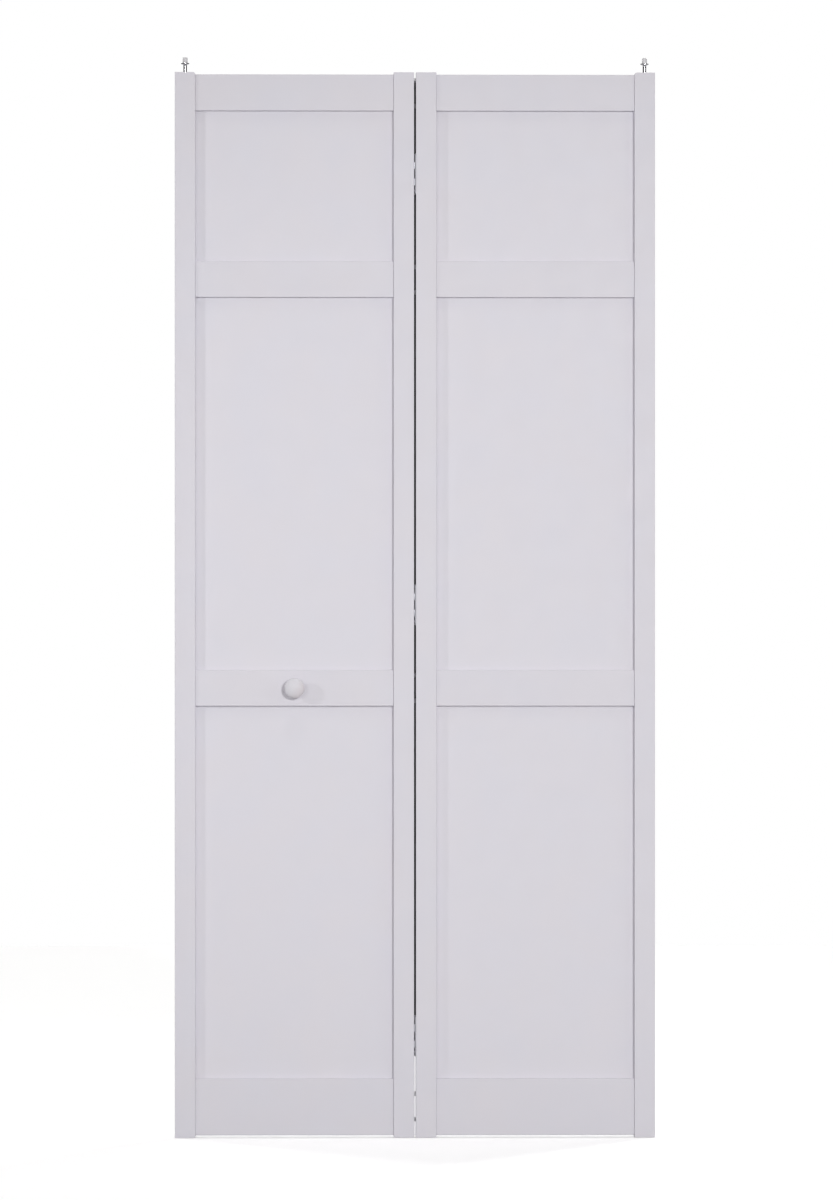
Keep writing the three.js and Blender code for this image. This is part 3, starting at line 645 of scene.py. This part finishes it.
class DOOR_OT_make_knob(bpy.types.Operator):
    """Turn the knob and its screw."""

    bl_idname = "door.make_knob"
    bl_label = "Knob"

    def execute(self, context):
        self.make_knob(context.scene.door_knob)
        self.make_screw(context.scene.door_screws)
        return {"FINISHED"}

    def make_knob(self, sizes):
        low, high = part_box("knob")
        radius = (high.x - low.x) / 2
        height = high.y - low.y
        neck_steps = 12
        head_steps = 40
        profile = [(0, sizes.bore_depth), (sizes.bore_radius, sizes.bore_depth), (sizes.bore_radius, 0)]
        profile += arc(sizes.base_radius - sizes.rim, sizes.rim, sizes.rim, -90, 0)
        for step in range(neck_steps + 1):
            share = step / neck_steps
            swell = (sizes.base_radius - sizes.neck_radius) * (1 - share) ** 2
            profile.append((sizes.neck_radius + swell, sizes.base_height + sizes.flare_height * share))
        start = -math.acos(sizes.neck_radius / radius)
        for step in range(1, head_steps + 1):
            turn = start + (QUARTER_TURN - start) * step / head_steps
            rise = sizes.underside_height if turn < 0 else height - sizes.widest_height
            profile.append((radius * math.cos(turn), sizes.widest_height + rise * math.sin(turn)))
        knob = turned("knob_turned", profile, KNOB_SIDES)
        middle = middle_of("knob")
        put(knob, (middle.x, high.y, middle.z), (QUARTER_TURN, 0, 0))
        finish_piece(knob, "knob_enamel", "knob")

    def make_screw(self, sizes):
        low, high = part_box("knob_screw")
        radius = (high.x - low.x) / 2
        reach = high.y - low.y
        head = sizes.knob_head_height
        edge = 0.3 * MM
        profile = [
            (0, 0),
            (radius / 2, 0.1 * head),
            (radius - edge, 0.5 * head),
            *arc(radius - edge, 0.5 * head + edge, edge, -60, 0),
            (radius, head),
            (sizes.knob_shaft_radius, head),
            *arc(sizes.knob_shaft_radius - edge, reach - edge, edge, 0, 90),
            (0, reach),
        ]
        screw = turned("knob_screw_cross_head", profile, HEAD_SIDES)
        cross_recess(screw, sizes, radius, sizes.knob_recess)
        middle = middle_of("knob_screw")
        put(screw, (middle.x, high.y, middle.z), (QUARTER_TURN, 0, 0))
        finish_piece(screw, "zinc_plate", "knob_screw")


class DOOR_OT_make_rail_screws(bpy.types.Operator):
    """Model one rail screw and copy it to every rail end on the hinge side."""

    bl_idname = "door.make_rail_screws"
    bl_label = "Rail screws"

    def execute(self, context):
        sizes = context.scene.door_screws
        model = self.model(sizes)
        for leaf, side in LEAVES.items():
            for index in RAIL_SCREWS:
                node = f"{leaf}_rail_screw_{index}"
                low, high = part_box(node)
                middle = middle_of(node)
                start = low.x if side > 0 else high.x
                screw = copied(model, f"{node}_cross_head")
                put(screw, (start, middle.y, middle.z), (0, side * QUARTER_TURN, 0))
                finish_piece(screw, "zinc_plate", node)
        bpy.data.objects.remove(model)
        return {"FINISHED"}

    def model(self, sizes):
        """A rail screw along Z, with its low round head down and the head's face at zero."""
        low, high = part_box("pivot_rail_screw_1")
        radius = (high.z - low.z) / 2
        reach = high.x - low.x
        head = sizes.rail_head_height
        rim = head / 3
        profile = [
            (0, 0),
            (radius * 0.6, 0.08 * head),
            (radius * 0.85, 0.3 * head),
            (radius, head - rim),
            (radius, head),
            (sizes.shaft_radius, head),
            (sizes.shaft_radius, reach - sizes.point_length),
            (0, reach),
        ]
        screw = turned("rail_screw_model", profile, SCREW_SIDES)
        cross_recess(screw, sizes, radius, sizes.rail_recess)
        return screw


class DOOR_OT_make_plugs(bpy.types.Operator):
    """Turn one plug and copy it over every screw on the jamb side."""

    bl_idname = "door.make_plugs"
    bl_label = "Plugs"

    def execute(self, context):
        sizes = context.scene.door_screws
        model = self.model(sizes)
        for leaf, side in LEAVES.items():
            stile = f"{leaf}_jamb_stile"
            low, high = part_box(stile)
            face = high.x if side > 0 else low.x
            for index in RAIL_SCREWS:
                middle = middle_of(f"{leaf}_rail_screw_{index}")
                plug = copied(model, f"{leaf}_plug_{index}")
                put(plug, (face, middle.y, middle.z), (0, side * QUARTER_TURN, 0))
                finish_piece(plug, "satin_paint", stile, replaces=False)
        bpy.data.objects.remove(model)
        return {"FINISHED"}

    def model(self, sizes):
        """A plug along Z, with its low crown up and just under zero."""
        edge = 0.3 * MM
        radius = sizes.plug_radius
        top = -0.05 * MM
        crown = sizes.plug_crown
        profile = [
            (0, -sizes.plug_depth),
            *arc(radius - edge, edge - sizes.plug_depth, edge, -90, 0),
            *arc(radius - edge, top - crown - edge, edge, 0, 70),
            (radius * 0.7, top - 0.4 * crown),
            (radius * 0.35, top - 0.1 * crown),
            (0, top),
        ]
        return turned("plug_model", profile, HEAD_SIDES)


class DOOR_OT_make_sprung_pins(bpy.types.Operator):
    """Turn both sprung pins with their nylon tips and sleeves, and wind their springs."""

    bl_idname = "door.make_sprung_pins"
    bl_label = "Sprung pins"

    def execute(self, context):
        sizes = context.scene.door_pins
        for prefix, cap, crown in (
            ("top_pivot", "top_pivot_tip", sizes.pivot_crown),
            ("guide", "guide_roller", sizes.roller_crown),
        ):
            self.make_pin(f"{prefix}_pin", sizes)
            self.make_cap(cap, f"{prefix}_pin", crown, sizes)
            self.make_sleeve(f"{prefix}_sleeve", sizes)
            spring = self.make_spring(f"{prefix}_spring", sizes)
            self.shorten_with(spring, f"{prefix}_press")
        return {"FINISHED"}

    def put_on_axis(self, piece, node, material, slot):
        """Put a piece on its node's axis and finish it."""
        middle = middle_of(node)
        put(piece, (middle.x, middle.y, 0))
        finish_piece(piece, material, node)

    def make_pin(self, node, sizes):
        low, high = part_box(node)
        collar_radius = (high.x - low.x) / 2
        foot_top = low.z + sizes.foot_height
        collar_top = high.z - sizes.spigot_height
        collar_low = collar_top - sizes.collar_thickness
        edge = sizes.edge
        sweep_steps = 10
        profile = [(0, low.z), *arc(sizes.foot_radius - edge, low.z + edge, edge, -90, 0)]
        profile += [(sizes.foot_radius, foot_top), (sizes.shaft_radius, foot_top)]
        for step in range(sweep_steps + 1):
            share = step / sweep_steps
            radius = sizes.shaft_radius + (collar_radius - sizes.shaft_radius) * share**2.2
            profile.append((radius, collar_low + edge - sizes.flare_height * (1 - share)))
        profile += arc(collar_radius - edge, collar_top - edge, edge, 0, 90)
        profile += [(sizes.spigot_radius, collar_top), (sizes.spigot_radius, high.z), (0, high.z)]
        self.put_on_axis(turned(f"{node}_turned", profile), node, "bright_steel", "pin_steel")

    def make_cap(self, node, pin_node, crown, sizes):
        low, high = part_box(node)
        radius = (high.x - low.x) / 2
        bore = sizes.spigot_radius + sizes.fit
        bore_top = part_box(pin_node)[1].z + sizes.fit
        edge = 0.2 * MM
        profile = [(0, bore_top), (bore, bore_top), (bore, low.z)]
        profile += arc(radius - edge, low.z + edge, edge, -90, 0)
        profile += arc(radius - crown, high.z - crown, crown, 0, 90, 12)
        profile.append((0, high.z))
        self.put_on_axis(turned(f"{node}_nylon", profile), node, "moulded_nylon", "nylon")

    def make_sleeve(self, node, sizes):
        low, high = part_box(node)
        radius = (high.x - low.x) / 2
        floor = low.z + sizes.floor_height
        neck = sizes.shaft_radius + sizes.fit
        edge = sizes.edge
        neck_low = high.z - sizes.neck_height
        profile = [(0, low.z), *arc(radius - edge, low.z + edge, edge, -90, 0), (radius, high.z)]
        profile += [(neck, high.z), (neck, neck_low), (sizes.chamber_radius, neck_low)]
        profile += [(sizes.chamber_radius, floor), (0, floor)]
        self.put_on_axis(turned(f"{node}_nylon", profile), node, "moulded_nylon", "nylon")

    def make_spring(self, node, sizes):
        """A spring drawn out along its helix, with closer turns at both ends, and given its wire."""
        low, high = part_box(node)
        wire = sizes.wire_radius
        coil = (high.x - low.x) / 2 - wire
        start = low.z + wire
        middle_pitch = (high.z - low.z - 2 * wire - 2 * sizes.end_pitch) / (sizes.turns - 2)
        steps = 24
        places = []
        for step in range(sizes.turns * steps + 1):
            turn = step / steps
            rise = min(turn, 1) * sizes.end_pitch
            rise += min(max(turn - 1, 0), sizes.turns - 2) * middle_pitch
            rise += max(turn - sizes.turns + 1, 0) * sizes.end_pitch
            around = FULL_TURN * turn
            places.append(Vector((coil * math.cos(around), coil * math.sin(around), start + rise)))
        spring = drawn_line(f"{node}_wound", places)
        select_only(spring)
        bpy.ops.object.convert(target="CURVE")
        spring.data.bevel_depth = wire
        spring.data.bevel_resolution = 3
        spring.data.use_fill_caps = True
        bpy.ops.object.convert(target="MESH")
        close_up(spring)
        self.put_on_axis(spring, node, "spring_wire", "spring_steel")
        return spring

    def shorten_with(self, spring, press):
        """Give a spring a mesh of its own."""
        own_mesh(spring)


class DOOR_OT_make_hinges(bpy.types.Operator):
    """Press the plates of one hinge, turn its pin, and copy them to the three hinges with their screws."""

    bl_idname = "door.make_hinges"
    bl_label = "Hinges"

    def execute(self, context):
        sizes = context.scene.door_hinges
        low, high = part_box("hinge_1_full_plate")
        reach = high.y - sizes.knuckle_radius - low.y
        height = high.z - low.z + 2 * sizes.knuckle_fit
        full = self.full_plate(sizes, reach, height)
        lobed = self.lobed_plate(sizes, reach - sizes.lobe_setback, height)
        pin = self.pin(sizes)
        screw = self.screw(sizes, context.scene.door_screws)
        for index in HINGES:
            low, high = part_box(f"hinge_{index}_full_plate")
            axis = Vector(((low.x + high.x) / 2, high.y - sizes.knuckle_radius, (low.z + high.z) / 2))
            for model, part, kind in (
                (full, "full_plate", "pressed"),
                (lobed, "lobed_plate", "pressed"),
                (pin, "pin", "headed"),
            ):
                node = f"hinge_{index}_{part}"
                piece = copied(model, f"{node}_{kind}")
                put(piece, axis)
                finish_piece(piece, "zinc_plate", node)
            self.put_screws(screw, sizes, index, axis, height)
        for model in (full, lobed, pin, screw):
            bpy.data.objects.remove(model)
        return {"FINISHED"}

    def sheet_block(self, name, sizes, side, depth, height):
        """A flat block on one side of the axis, which reaches forward by the depth, open in edit mode."""
        inner = side * sizes.plate_inner
        outer = side * (sizes.plate_inner + sizes.plate_thickness)
        return block(name, (min(inner, outer), -depth, -height / 2), (max(inner, outer), 0, height / 2))

    def round_front_corners(self, piece, sizes, reach):
        """Round the corners of the open plate that lie at its reach."""

        def at_front(middle, direction):
            return abs(direction.x) > 0.9 and middle.y < WELD - reach

        pick(piece, "EDGE", at_front)
        bpy.ops.mesh.bevel(offset=sizes.corner_radius, segments=8, affect="EDGES")
        bpy.ops.object.mode_set(mode="OBJECT")
        soften(piece, sizes.soft_edge)

    def full_plate(self, sizes, reach, height):
        """A rectangle with rounded front corners."""
        plate = self.sheet_block("full_plate_model", sizes, 1, reach, height)
        self.round_front_corners(plate, sizes, reach)
        self.roll_knuckles(plate, sizes, 1, 0, height)
        return plate

    def lobed_plate(self, sizes, reach, height):
        """A narrow strip, cut across at the knuckles' ends, with a lobe drawn out at every other place."""
        knuckle = height / KNUCKLES
        plate = self.sheet_block("lobed_plate_model", sizes, -1, sizes.strip_depth, height)
        for cut in range(1, KNUCKLES):
            bpy.ops.mesh.select_all(action="SELECT")
            bpy.ops.mesh.bisect(plane_co=(0, 0, cut * knuckle - height / 2), plane_no=(0, 0, 1))

        def at_lobe(middle, normal):
            return normal.y < -0.9 and int((middle.z + height / 2) / knuckle) % 2 == 1

        pick(plate, "FACE", at_lobe)
        bpy.ops.mesh.extrude_region_move(TRANSFORM_OT_translate={"value": (0, sizes.strip_depth - reach, 0)})
        self.round_front_corners(plate, sizes, reach)
        self.roll_knuckles(plate, sizes, -1, 1, height)
        return plate

    def roll_knuckles(self, plate, sizes, side, first_own, height):
        """Give a plate its knuckles, room for the other plate's, the pin's bore and the screw holes."""
        knuckle = height / KNUCKLES
        fit = sizes.knuckle_fit
        room = sizes.knuckle_radius + sizes.knuckle_room
        for place in range(KNUCKLES):
            low = place * knuckle - height / 2
            high = low + knuckle
            if place % 2 == first_own:
                profile = bar_profile(sizes.knuckle_radius, low + fit, high - fit, sizes.knuckle_edge)
                combine(plate, turned("knuckle", profile, KNUCKLE_SIDES), "UNION")
            else:
                profile = [(0, low - fit), (room, low - fit), (room, high + fit), (0, high + fit)]
                combine(plate, turned("knuckle_room", profile, KNUCKLE_SIDES), "DIFFERENCE")
        bore = [(0, -height), (sizes.bore_radius, -height), (sizes.bore_radius, height), (0, height)]
        combine(plate, turned("pin_bore", bore, KNUCKLE_SIDES), "DIFFERENCE")
        for place in range(first_own, KNUCKLES, 2):
            middle = (place + 0.5) * knuckle - height / 2
            hole = self.countersink(sizes)
            put(hole, self.screw_place(sizes, side, middle), (0, side * QUARTER_TURN, 0))
            combine(plate, hole, "DIFFERENCE")

    def screw_place(self, sizes, side, height):
        """Where a screw's head lies in a plate, seen from the hinge axis."""
        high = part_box("hinge_1_full_plate")[1]
        return (side * sizes.plate_inner, sizes.knuckle_radius - high.y, height)

    def countersink(self, sizes):
        """A cutter for a countersunk hole along Z, with the plate's inner face at zero."""
        screws = bpy.context.scene.door_screws
        fit = 0.1 * MM
        head = screws.hinge_head_radius + fit
        shaft = screws.shaft_radius
        depth = sizes.plate_thickness
        profile = [(0, -OVERRUN), (head, -OVERRUN), (head, 0), (shaft, depth), (shaft, depth + OVERRUN)]
        profile.append((0, depth + OVERRUN))
        return turned("countersink", profile, KNUCKLE_SIDES)

    def pin(self, sizes):
        """A pin with a low head at each end."""
        low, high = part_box("hinge_1_pin")
        head_radius = (high.x - low.x) / 2
        end = (high.z - low.z) / 2
        head = sizes.pin_head_height
        rim = 0.4 * MM
        profile = [(0, -end), *arc(head_radius - rim, rim - end, rim, -90, 0)]
        profile += [(head_radius, head - end), (sizes.pin_radius, head - end)]
        profile += [(sizes.pin_radius, end - head), (head_radius, end - head)]
        profile += [*arc(head_radius - rim, end - rim, rim, 0, 90), (0, end)]
        return turned("hinge_pin_model", profile, KNUCKLE_SIDES)

    def screw(self, sizes, screws):
        """A countersunk screw along Z with its flat head down, just below the plate's inner face at zero."""
        sunk = 0.05 * MM
        head = screws.hinge_head_radius
        shaft = screws.shaft_radius - 0.1 * MM
        reach = screws.hinge_length
        point = screws.point_length / 2
        profile = [(0, sunk), (head - 0.1 * MM, sunk), (head, sunk + 0.1 * MM)]
        profile += [(shaft, sizes.plate_thickness), (shaft, reach - point), (0, reach)]
        screw = turned("hinge_screw_model", profile, SCREW_SIDES)
        cross_recess(screw, screws, head, screws.hinge_recess)
        return screw

    def put_screws(self, model, sizes, index, axis, height):
        """Copy the screw to the holes of one hinge."""
        knuckle = height / KNUCKLES
        for place in range(KNUCKLES):
            side = 1 if place % 2 == 0 else -1
            plate = "full_plate" if side > 0 else "lobed_plate"
            middle = (place + 0.5) * knuckle - height / 2
            screw = copied(model, f"hinge_{index}_screw_{place + 1}")
            put(screw, axis + Vector(self.screw_place(sizes, side, middle)), (0, side * QUARTER_TURN, 0))
            finish_piece(screw, "zinc_plate", f"hinge_{index}_{plate}", replaces=False)


class DOOR_OT_make_bottom_pivot(bpy.types.Operator):
    """Model the bottom pivot's nylon socket and its pin with a toothed foot."""

    bl_idname = "door.make_bottom_pivot"
    bl_label = "Bottom pivot"

    def execute(self, context):
        sizes = context.scene.door_bottom_pivot
        self.make_socket(sizes)
        self.make_pin(sizes)
        return {"FINISHED"}

    def make_socket(self, sizes):
        node = "bottom_pivot_socket"
        low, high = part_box(node)
        cup_radius = (high.x - low.x) / 2
        foot_low, foot_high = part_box("bottom_pivot_pin")
        foot_radius = (foot_high.x - foot_low.x) / 2
        cup_top = sizes.foot_height + sizes.fit
        bore = sizes.shaft_radius + sizes.fit
        bore_top = high.z - sizes.roof
        cup_outside = cup_top + sizes.cup_floor
        profile = [(0, bore_top), (bore, bore_top), (bore, cup_top), (foot_radius + sizes.fit, cup_top)]
        profile += [(foot_radius + sizes.fit, low.z), (cup_radius, low.z)]
        edge = sizes.edge
        profile += arc(cup_radius - edge, cup_outside - edge, edge, 0, 90)
        profile += [(sizes.barrel_radius, cup_outside)]
        profile += [*arc(sizes.barrel_radius - edge, high.z - edge, edge, 0, 90), (0, high.z)]
        socket = turned(f"{node}_nylon", profile)
        finish_piece(socket, "moulded_nylon", node)

    def make_pin(self, sizes):
        """A foot drawn up from a toothed ring, and a shaft turned on top of it."""
        node = "bottom_pivot_pin"
        low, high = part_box(node)
        radius = (high.x - low.x) / 2
        foot = new_primitive(
            f"{node}_toothed", bpy.ops.mesh.primitive_circle_add, radius=radius, vertices=2 * sizes.teeth
        )
        self.pick_valleys(foot, sizes)
        valley = 1 - sizes.tooth_depth / radius
        bpy.ops.transform.resize(value=(valley, valley, 1), center_override=(0, 0, 0))
        bpy.ops.mesh.select_all(action="SELECT")
        bpy.ops.mesh.edge_face_add()
        bpy.ops.mesh.extrude_region_move(TRANSFORM_OT_translate={"value": (0, 0, sizes.foot_height)})
        close_up(foot)
        soften(foot, sizes.edge / 2)
        shaft = turned("shaft", bar_profile(sizes.shaft_radius, sizes.foot_height / 2, high.z, sizes.edge))
        combine(foot, shaft, "UNION")
        put(foot, (0, 0, low.z))
        finish_piece(foot, "zinc_plate", node)

    def pick_valleys(self, foot, sizes):
        """Select every other corner of the open ring, none of which lies on the X axis."""
        bpy.ops.mesh.select_mode(type="VERT")
        bpy.ops.mesh.select_all(action="DESELECT")
        mesh = bmesh.from_edit_mesh(foot.data)
        for corner in mesh.verts:
            place = round(math.atan2(corner.co.y, corner.co.x) * sizes.teeth / math.pi)
            corner.select_set(place % 2 == 1)
        bmesh.update_edit_mesh(foot.data)


class DOOR_OT_set_stage(bpy.types.Operator):
    """Set the floor, the lamps, the camera and the painted shade behind the gap."""

    bl_idname = "door.set_stage"
    bl_label = "Stage"

    def execute(self, context):
        settings = context.scene.door_studio
        context.scene.view_settings.view_transform = "Standard"
        self.add_camera(context.scene, settings)
        self.add_lamps(settings)
        self.light_world(context.scene, settings)
        self.add_floor(settings)
        self.darken_gap(settings)
        return {"FINISHED"}

    def add_camera(self, scene, settings):
        """The camera looks along +Y, a little turned."""
        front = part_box("pivot_jamb_stile")[0].y
        back = Vector((-math.sin(settings.yaw), -math.cos(settings.yaw), 0)) * settings.camera_distance
        place = Vector((settings.aim_x, front, settings.aim_z)) + back
        turn = (QUARTER_TURN, 0, -settings.yaw)
        bpy.ops.object.camera_add(location=place, rotation=turn)
        camera = bpy.context.object
        camera.name = "photo_camera"
        camera.data.lens = settings.lens
        camera.data.sensor_fit = "AUTO"
        camera.data.sensor_width = settings.sensor
        scene.camera = camera

    def add_lamps(self, settings):
        """A key lamp at the right, a wide one in front, a small one at the left and distant ones."""
        place = Vector(settings.key_place)
        turn = (Vector(settings.key_aim) - place).to_track_quat("-Z", "Y").to_euler()
        key = self.add_lamp("key_lamp", "SPOT", settings.key_power, place, turn)
        key.data.shadow_soft_size = settings.key_radius
        key.data.spot_size = settings.key_beam
        key.data.spot_blend = 1.0
        turn = (QUARTER_TURN, 0, 0)
        fill = self.add_lamp("fill_lamp", "AREA", settings.fill_power, settings.fill_place, turn)
        fill.data.shape = "RECTANGLE"
        fill.data.size = settings.fill_width
        fill.data.size_y = settings.fill_height
        side = self.add_lamp("side_lamp", "POINT", settings.side_power, settings.side_place)
        side.data.shadow_soft_size = settings.side_radius
        side.visible_camera = False
        side.visible_glossy = False
        for name, source, strength, spread_degrees, tint, in_gloss in DISTANT_LAMPS:
            turn = Vector(source).to_track_quat("Z", "Y").to_euler()
            lamp = self.add_lamp(name, "SUN", strength, (0, 0, 0), turn)
            lamp.data.angle = math.radians(spread_degrees)
            lamp.data.color = tint
            lamp.visible_glossy = in_gloss

    def add_lamp(self, name, kind, energy, location, rotation=(0, 0, 0)):
        bpy.ops.object.light_add(type=kind, location=location, rotation=rotation)
        lamp = bpy.context.object
        lamp.name = name
        lamp.data.energy = energy
        return lamp

    def light_world(self, scene, settings):
        """Even light from all round, white to the camera, and white with dark sides in polished metal."""
        world = bpy.data.worlds.new("studio")
        scene.world = world
        tree = emptied_tree(world)
        rays = add_node(tree, "LightPath").outputs
        ambient = add_node(tree, "Background", {"Color": WHITE, "Strength": settings.ambient})
        white = add_node(tree, "Background", {"Color": WHITE})
        direction = add_node(tree, "TexCoord").outputs["Generated"]
        depth = add_node(tree, "SeparateXYZ", {"Vector": direction}).outputs["Y"]
        share = add_node(tree, "MapRange", {"Value": depth, "From Min": -1.0, "From Max": 1.0})
        tone = self.mirrored_tone(tree, share.outputs["Result"])
        mirrored = add_node(tree, "Background", {"Color": tone})
        seen = calculated(tree, "MAXIMUM", rays["Is Camera Ray"], rays["Is Transmission Ray"])
        plain = self.either(tree, seen, ambient, white)
        lit = self.either(tree, rays["Is Glossy Ray"], plain, mirrored)
        add_node(tree, "OutputWorld", {"Surface": lit.outputs[0]})

    def either(self, tree, factor, first, second):
        """The first shader where the factor is 0, and the second where it is 1."""
        return add_node(tree, "MixShader", {0: factor, 1: first.outputs[0], 2: second.outputs[0]})

    def mirrored_tone(self, tree, share):
        """The grey tone at a share of the way from front to back."""
        node = add_node(tree, "ValToRGB", {"Fac": share})
        elements = node.color_ramp.elements
        while len(elements) < len(MIRRORED_TONES):
            elements.new(1.0)
        for element, (position, tone) in zip(elements, MIRRORED_TONES):
            element.position = position
            element.color = (tone, tone, tone, 1.0)
        return node.outputs["Color"]

    def add_floor(self, settings):
        """A plain pale floor that shows white but keeps the door's shadow, and is greyer as light."""
        select_only(None)
        bpy.ops.mesh.primitive_plane_add(size=settings.floor_size, location=(0, 0, -settings.floor_drop))
        floor = bpy.context.object
        floor.name = "floor"
        material, tree, shader = shader_tree("pale_floor")[:3]
        rays = add_node(tree, "LightPath").outputs
        seen = calculated(tree, "MAXIMUM", rays["Is Camera Ray"], rays["Is Transmission Ray"])
        mirrored = calculated(tree, "MAXIMUM", seen, rays["Is Glossy Ray"])
        set_inputs(shader, {
            "Base Color": blended(tree, rays["Is Diffuse Ray"], FLOOR_TONE, FLOOR_TONE_AS_LIGHT),
            "Roughness": 0.8,
            "Emission Color": WHITE,
            "Emission Strength": calculated(tree, "MULTIPLY", mirrored, settings.floor_glow),
        })
        floor.data.materials.append(material)

    def darken_gap(self, settings):
        """A strip of painted shade in the gap, dark, with pale grey painted shade below, which shows only
        between the closed leaves.
        """
        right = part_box("pivot_hinge_stile")[0].x
        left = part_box("lead_hinge_stile")[1].x
        middle = (left + right) / 2
        width = right - left + 0.4 * MM
        height = settings.gap_high - settings.floor_drop
        strip = new_primitive("gap_shade", bpy.ops.mesh.primitive_plane_add, size=1)
        bpy.ops.transform.resize(value=(width, height, 1), center_override=(0, 0, 0))
        bpy.ops.object.mode_set(mode="OBJECT")
        put(strip, (middle, settings.gap_depth, settings.gap_high - height / 2), (QUARTER_TURN, 0, 0))
        strip.data.materials.append(self.gap_material(settings))
        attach(strip, "pivot_leaf")

    def gap_material(self, settings):
        """Painted shade, dark or pale, where both leaves stand close, and clear elsewhere."""
        material = bpy.data.materials.new("gap_dark")
        tree = emptied_tree(material)
        place = add_node(tree, "TexCoord").outputs["Object"]
        height = add_node(tree, "SeparateXYZ", {"Vector": place}).outputs["Z"]
        raised = calculated(tree, "GREATER_THAN", height, settings.gap_low)
        # Painted shade: a near-black sheet for the shade in the gap, and a grey see-through tint for the
        # shaded floor behind its foot
        dark = add_node(tree, "BsdfDiffuse", {"Color": GAP_PAINTED_SHADE})
        pale = add_node(tree, "BsdfTransparent", {"Color": GAP_PAINTED_FLOOR_SHADE})
        openness = add_node(tree, "AmbientOcclusion", {"Distance": 30 * MM}).outputs["AO"]
        closed = calculated(tree, "LESS_THAN", openness, 0.32)
        shade = self.either(tree, raised, pale, dark)
        shown = self.either(tree, closed, add_node(tree, "BsdfTransparent"), shade)
        add_node(tree, "OutputMaterial", {"Surface": shown.outputs[0]})
        return material


STEPS = (
    DOOR_OT_make_materials,
    DOOR_OT_paint_leaves,
    DOOR_OT_make_knob,
    DOOR_OT_make_rail_screws,
    DOOR_OT_make_plugs,
    DOOR_OT_make_sprung_pins,
    DOOR_OT_make_hinges,
    DOOR_OT_make_bottom_pivot,
    DOOR_OT_set_stage,
)

SETTINGS = {
    "door_paint": PaintSettings,
    "door_knob": KnobSettings,
    "door_pins": PinSettings,
    "door_hinges": HingeSettings,
    "door_screws": ScrewSettings,
    "door_bottom_pivot": BottomPivotSettings,
    "door_metals": MetalSettings,
    "door_studio": StudioSettings,
}


class VIEW3D_PT_bifold_door(bpy.types.Panel):
    """Sizes, colours and steps of the door."""

    bl_label = "Bifold door"
    bl_idname = "VIEW3D_PT_bifold_door"
    bl_space_type = "VIEW_3D"
    bl_region_type = "UI"
    bl_category = "Bifold door"

    def draw(self, context):
        for group_name, group in SETTINGS.items():
            box = self.layout.box()
            box.label(text=group.__doc__)
            for setting in group.__annotations__:
                box.prop(getattr(context.scene, group_name), setting)
        for step in STEPS:
            self.layout.operator(step.bl_idname)


def register():
    """Register the settings, the steps and the panel."""
    for group_name, group in SETTINGS.items():
        bpy.utils.register_class(group)
        setattr(bpy.types.Scene, group_name, bpy.props.PointerProperty(type=group))
    for step in STEPS:
        bpy.utils.register_class(step)
    bpy.utils.register_class(VIEW3D_PT_bifold_door)


def unregister():
    """Take everything out again."""
    bpy.utils.unregister_class(VIEW3D_PT_bifold_door)
    for step in reversed(STEPS):
        bpy.utils.unregister_class(step)
    for group_name, group in SETTINGS.items():
        delattr(bpy.types.Scene, group_name)
        bpy.utils.unregister_class(group)


def main():
    """Run every step."""
    register()
    bpy.ops.door.make_materials()
    bpy.ops.door.paint_leaves()
    bpy.ops.door.make_knob()
    bpy.ops.door.make_rail_screws()
    bpy.ops.door.make_plugs()
    bpy.ops.door.make_sprung_pins()
    bpy.ops.door.make_hinges()
    bpy.ops.door.make_bottom_pivot()
    bpy.ops.door.set_stage()


if __name__ == "__main__":
    main()
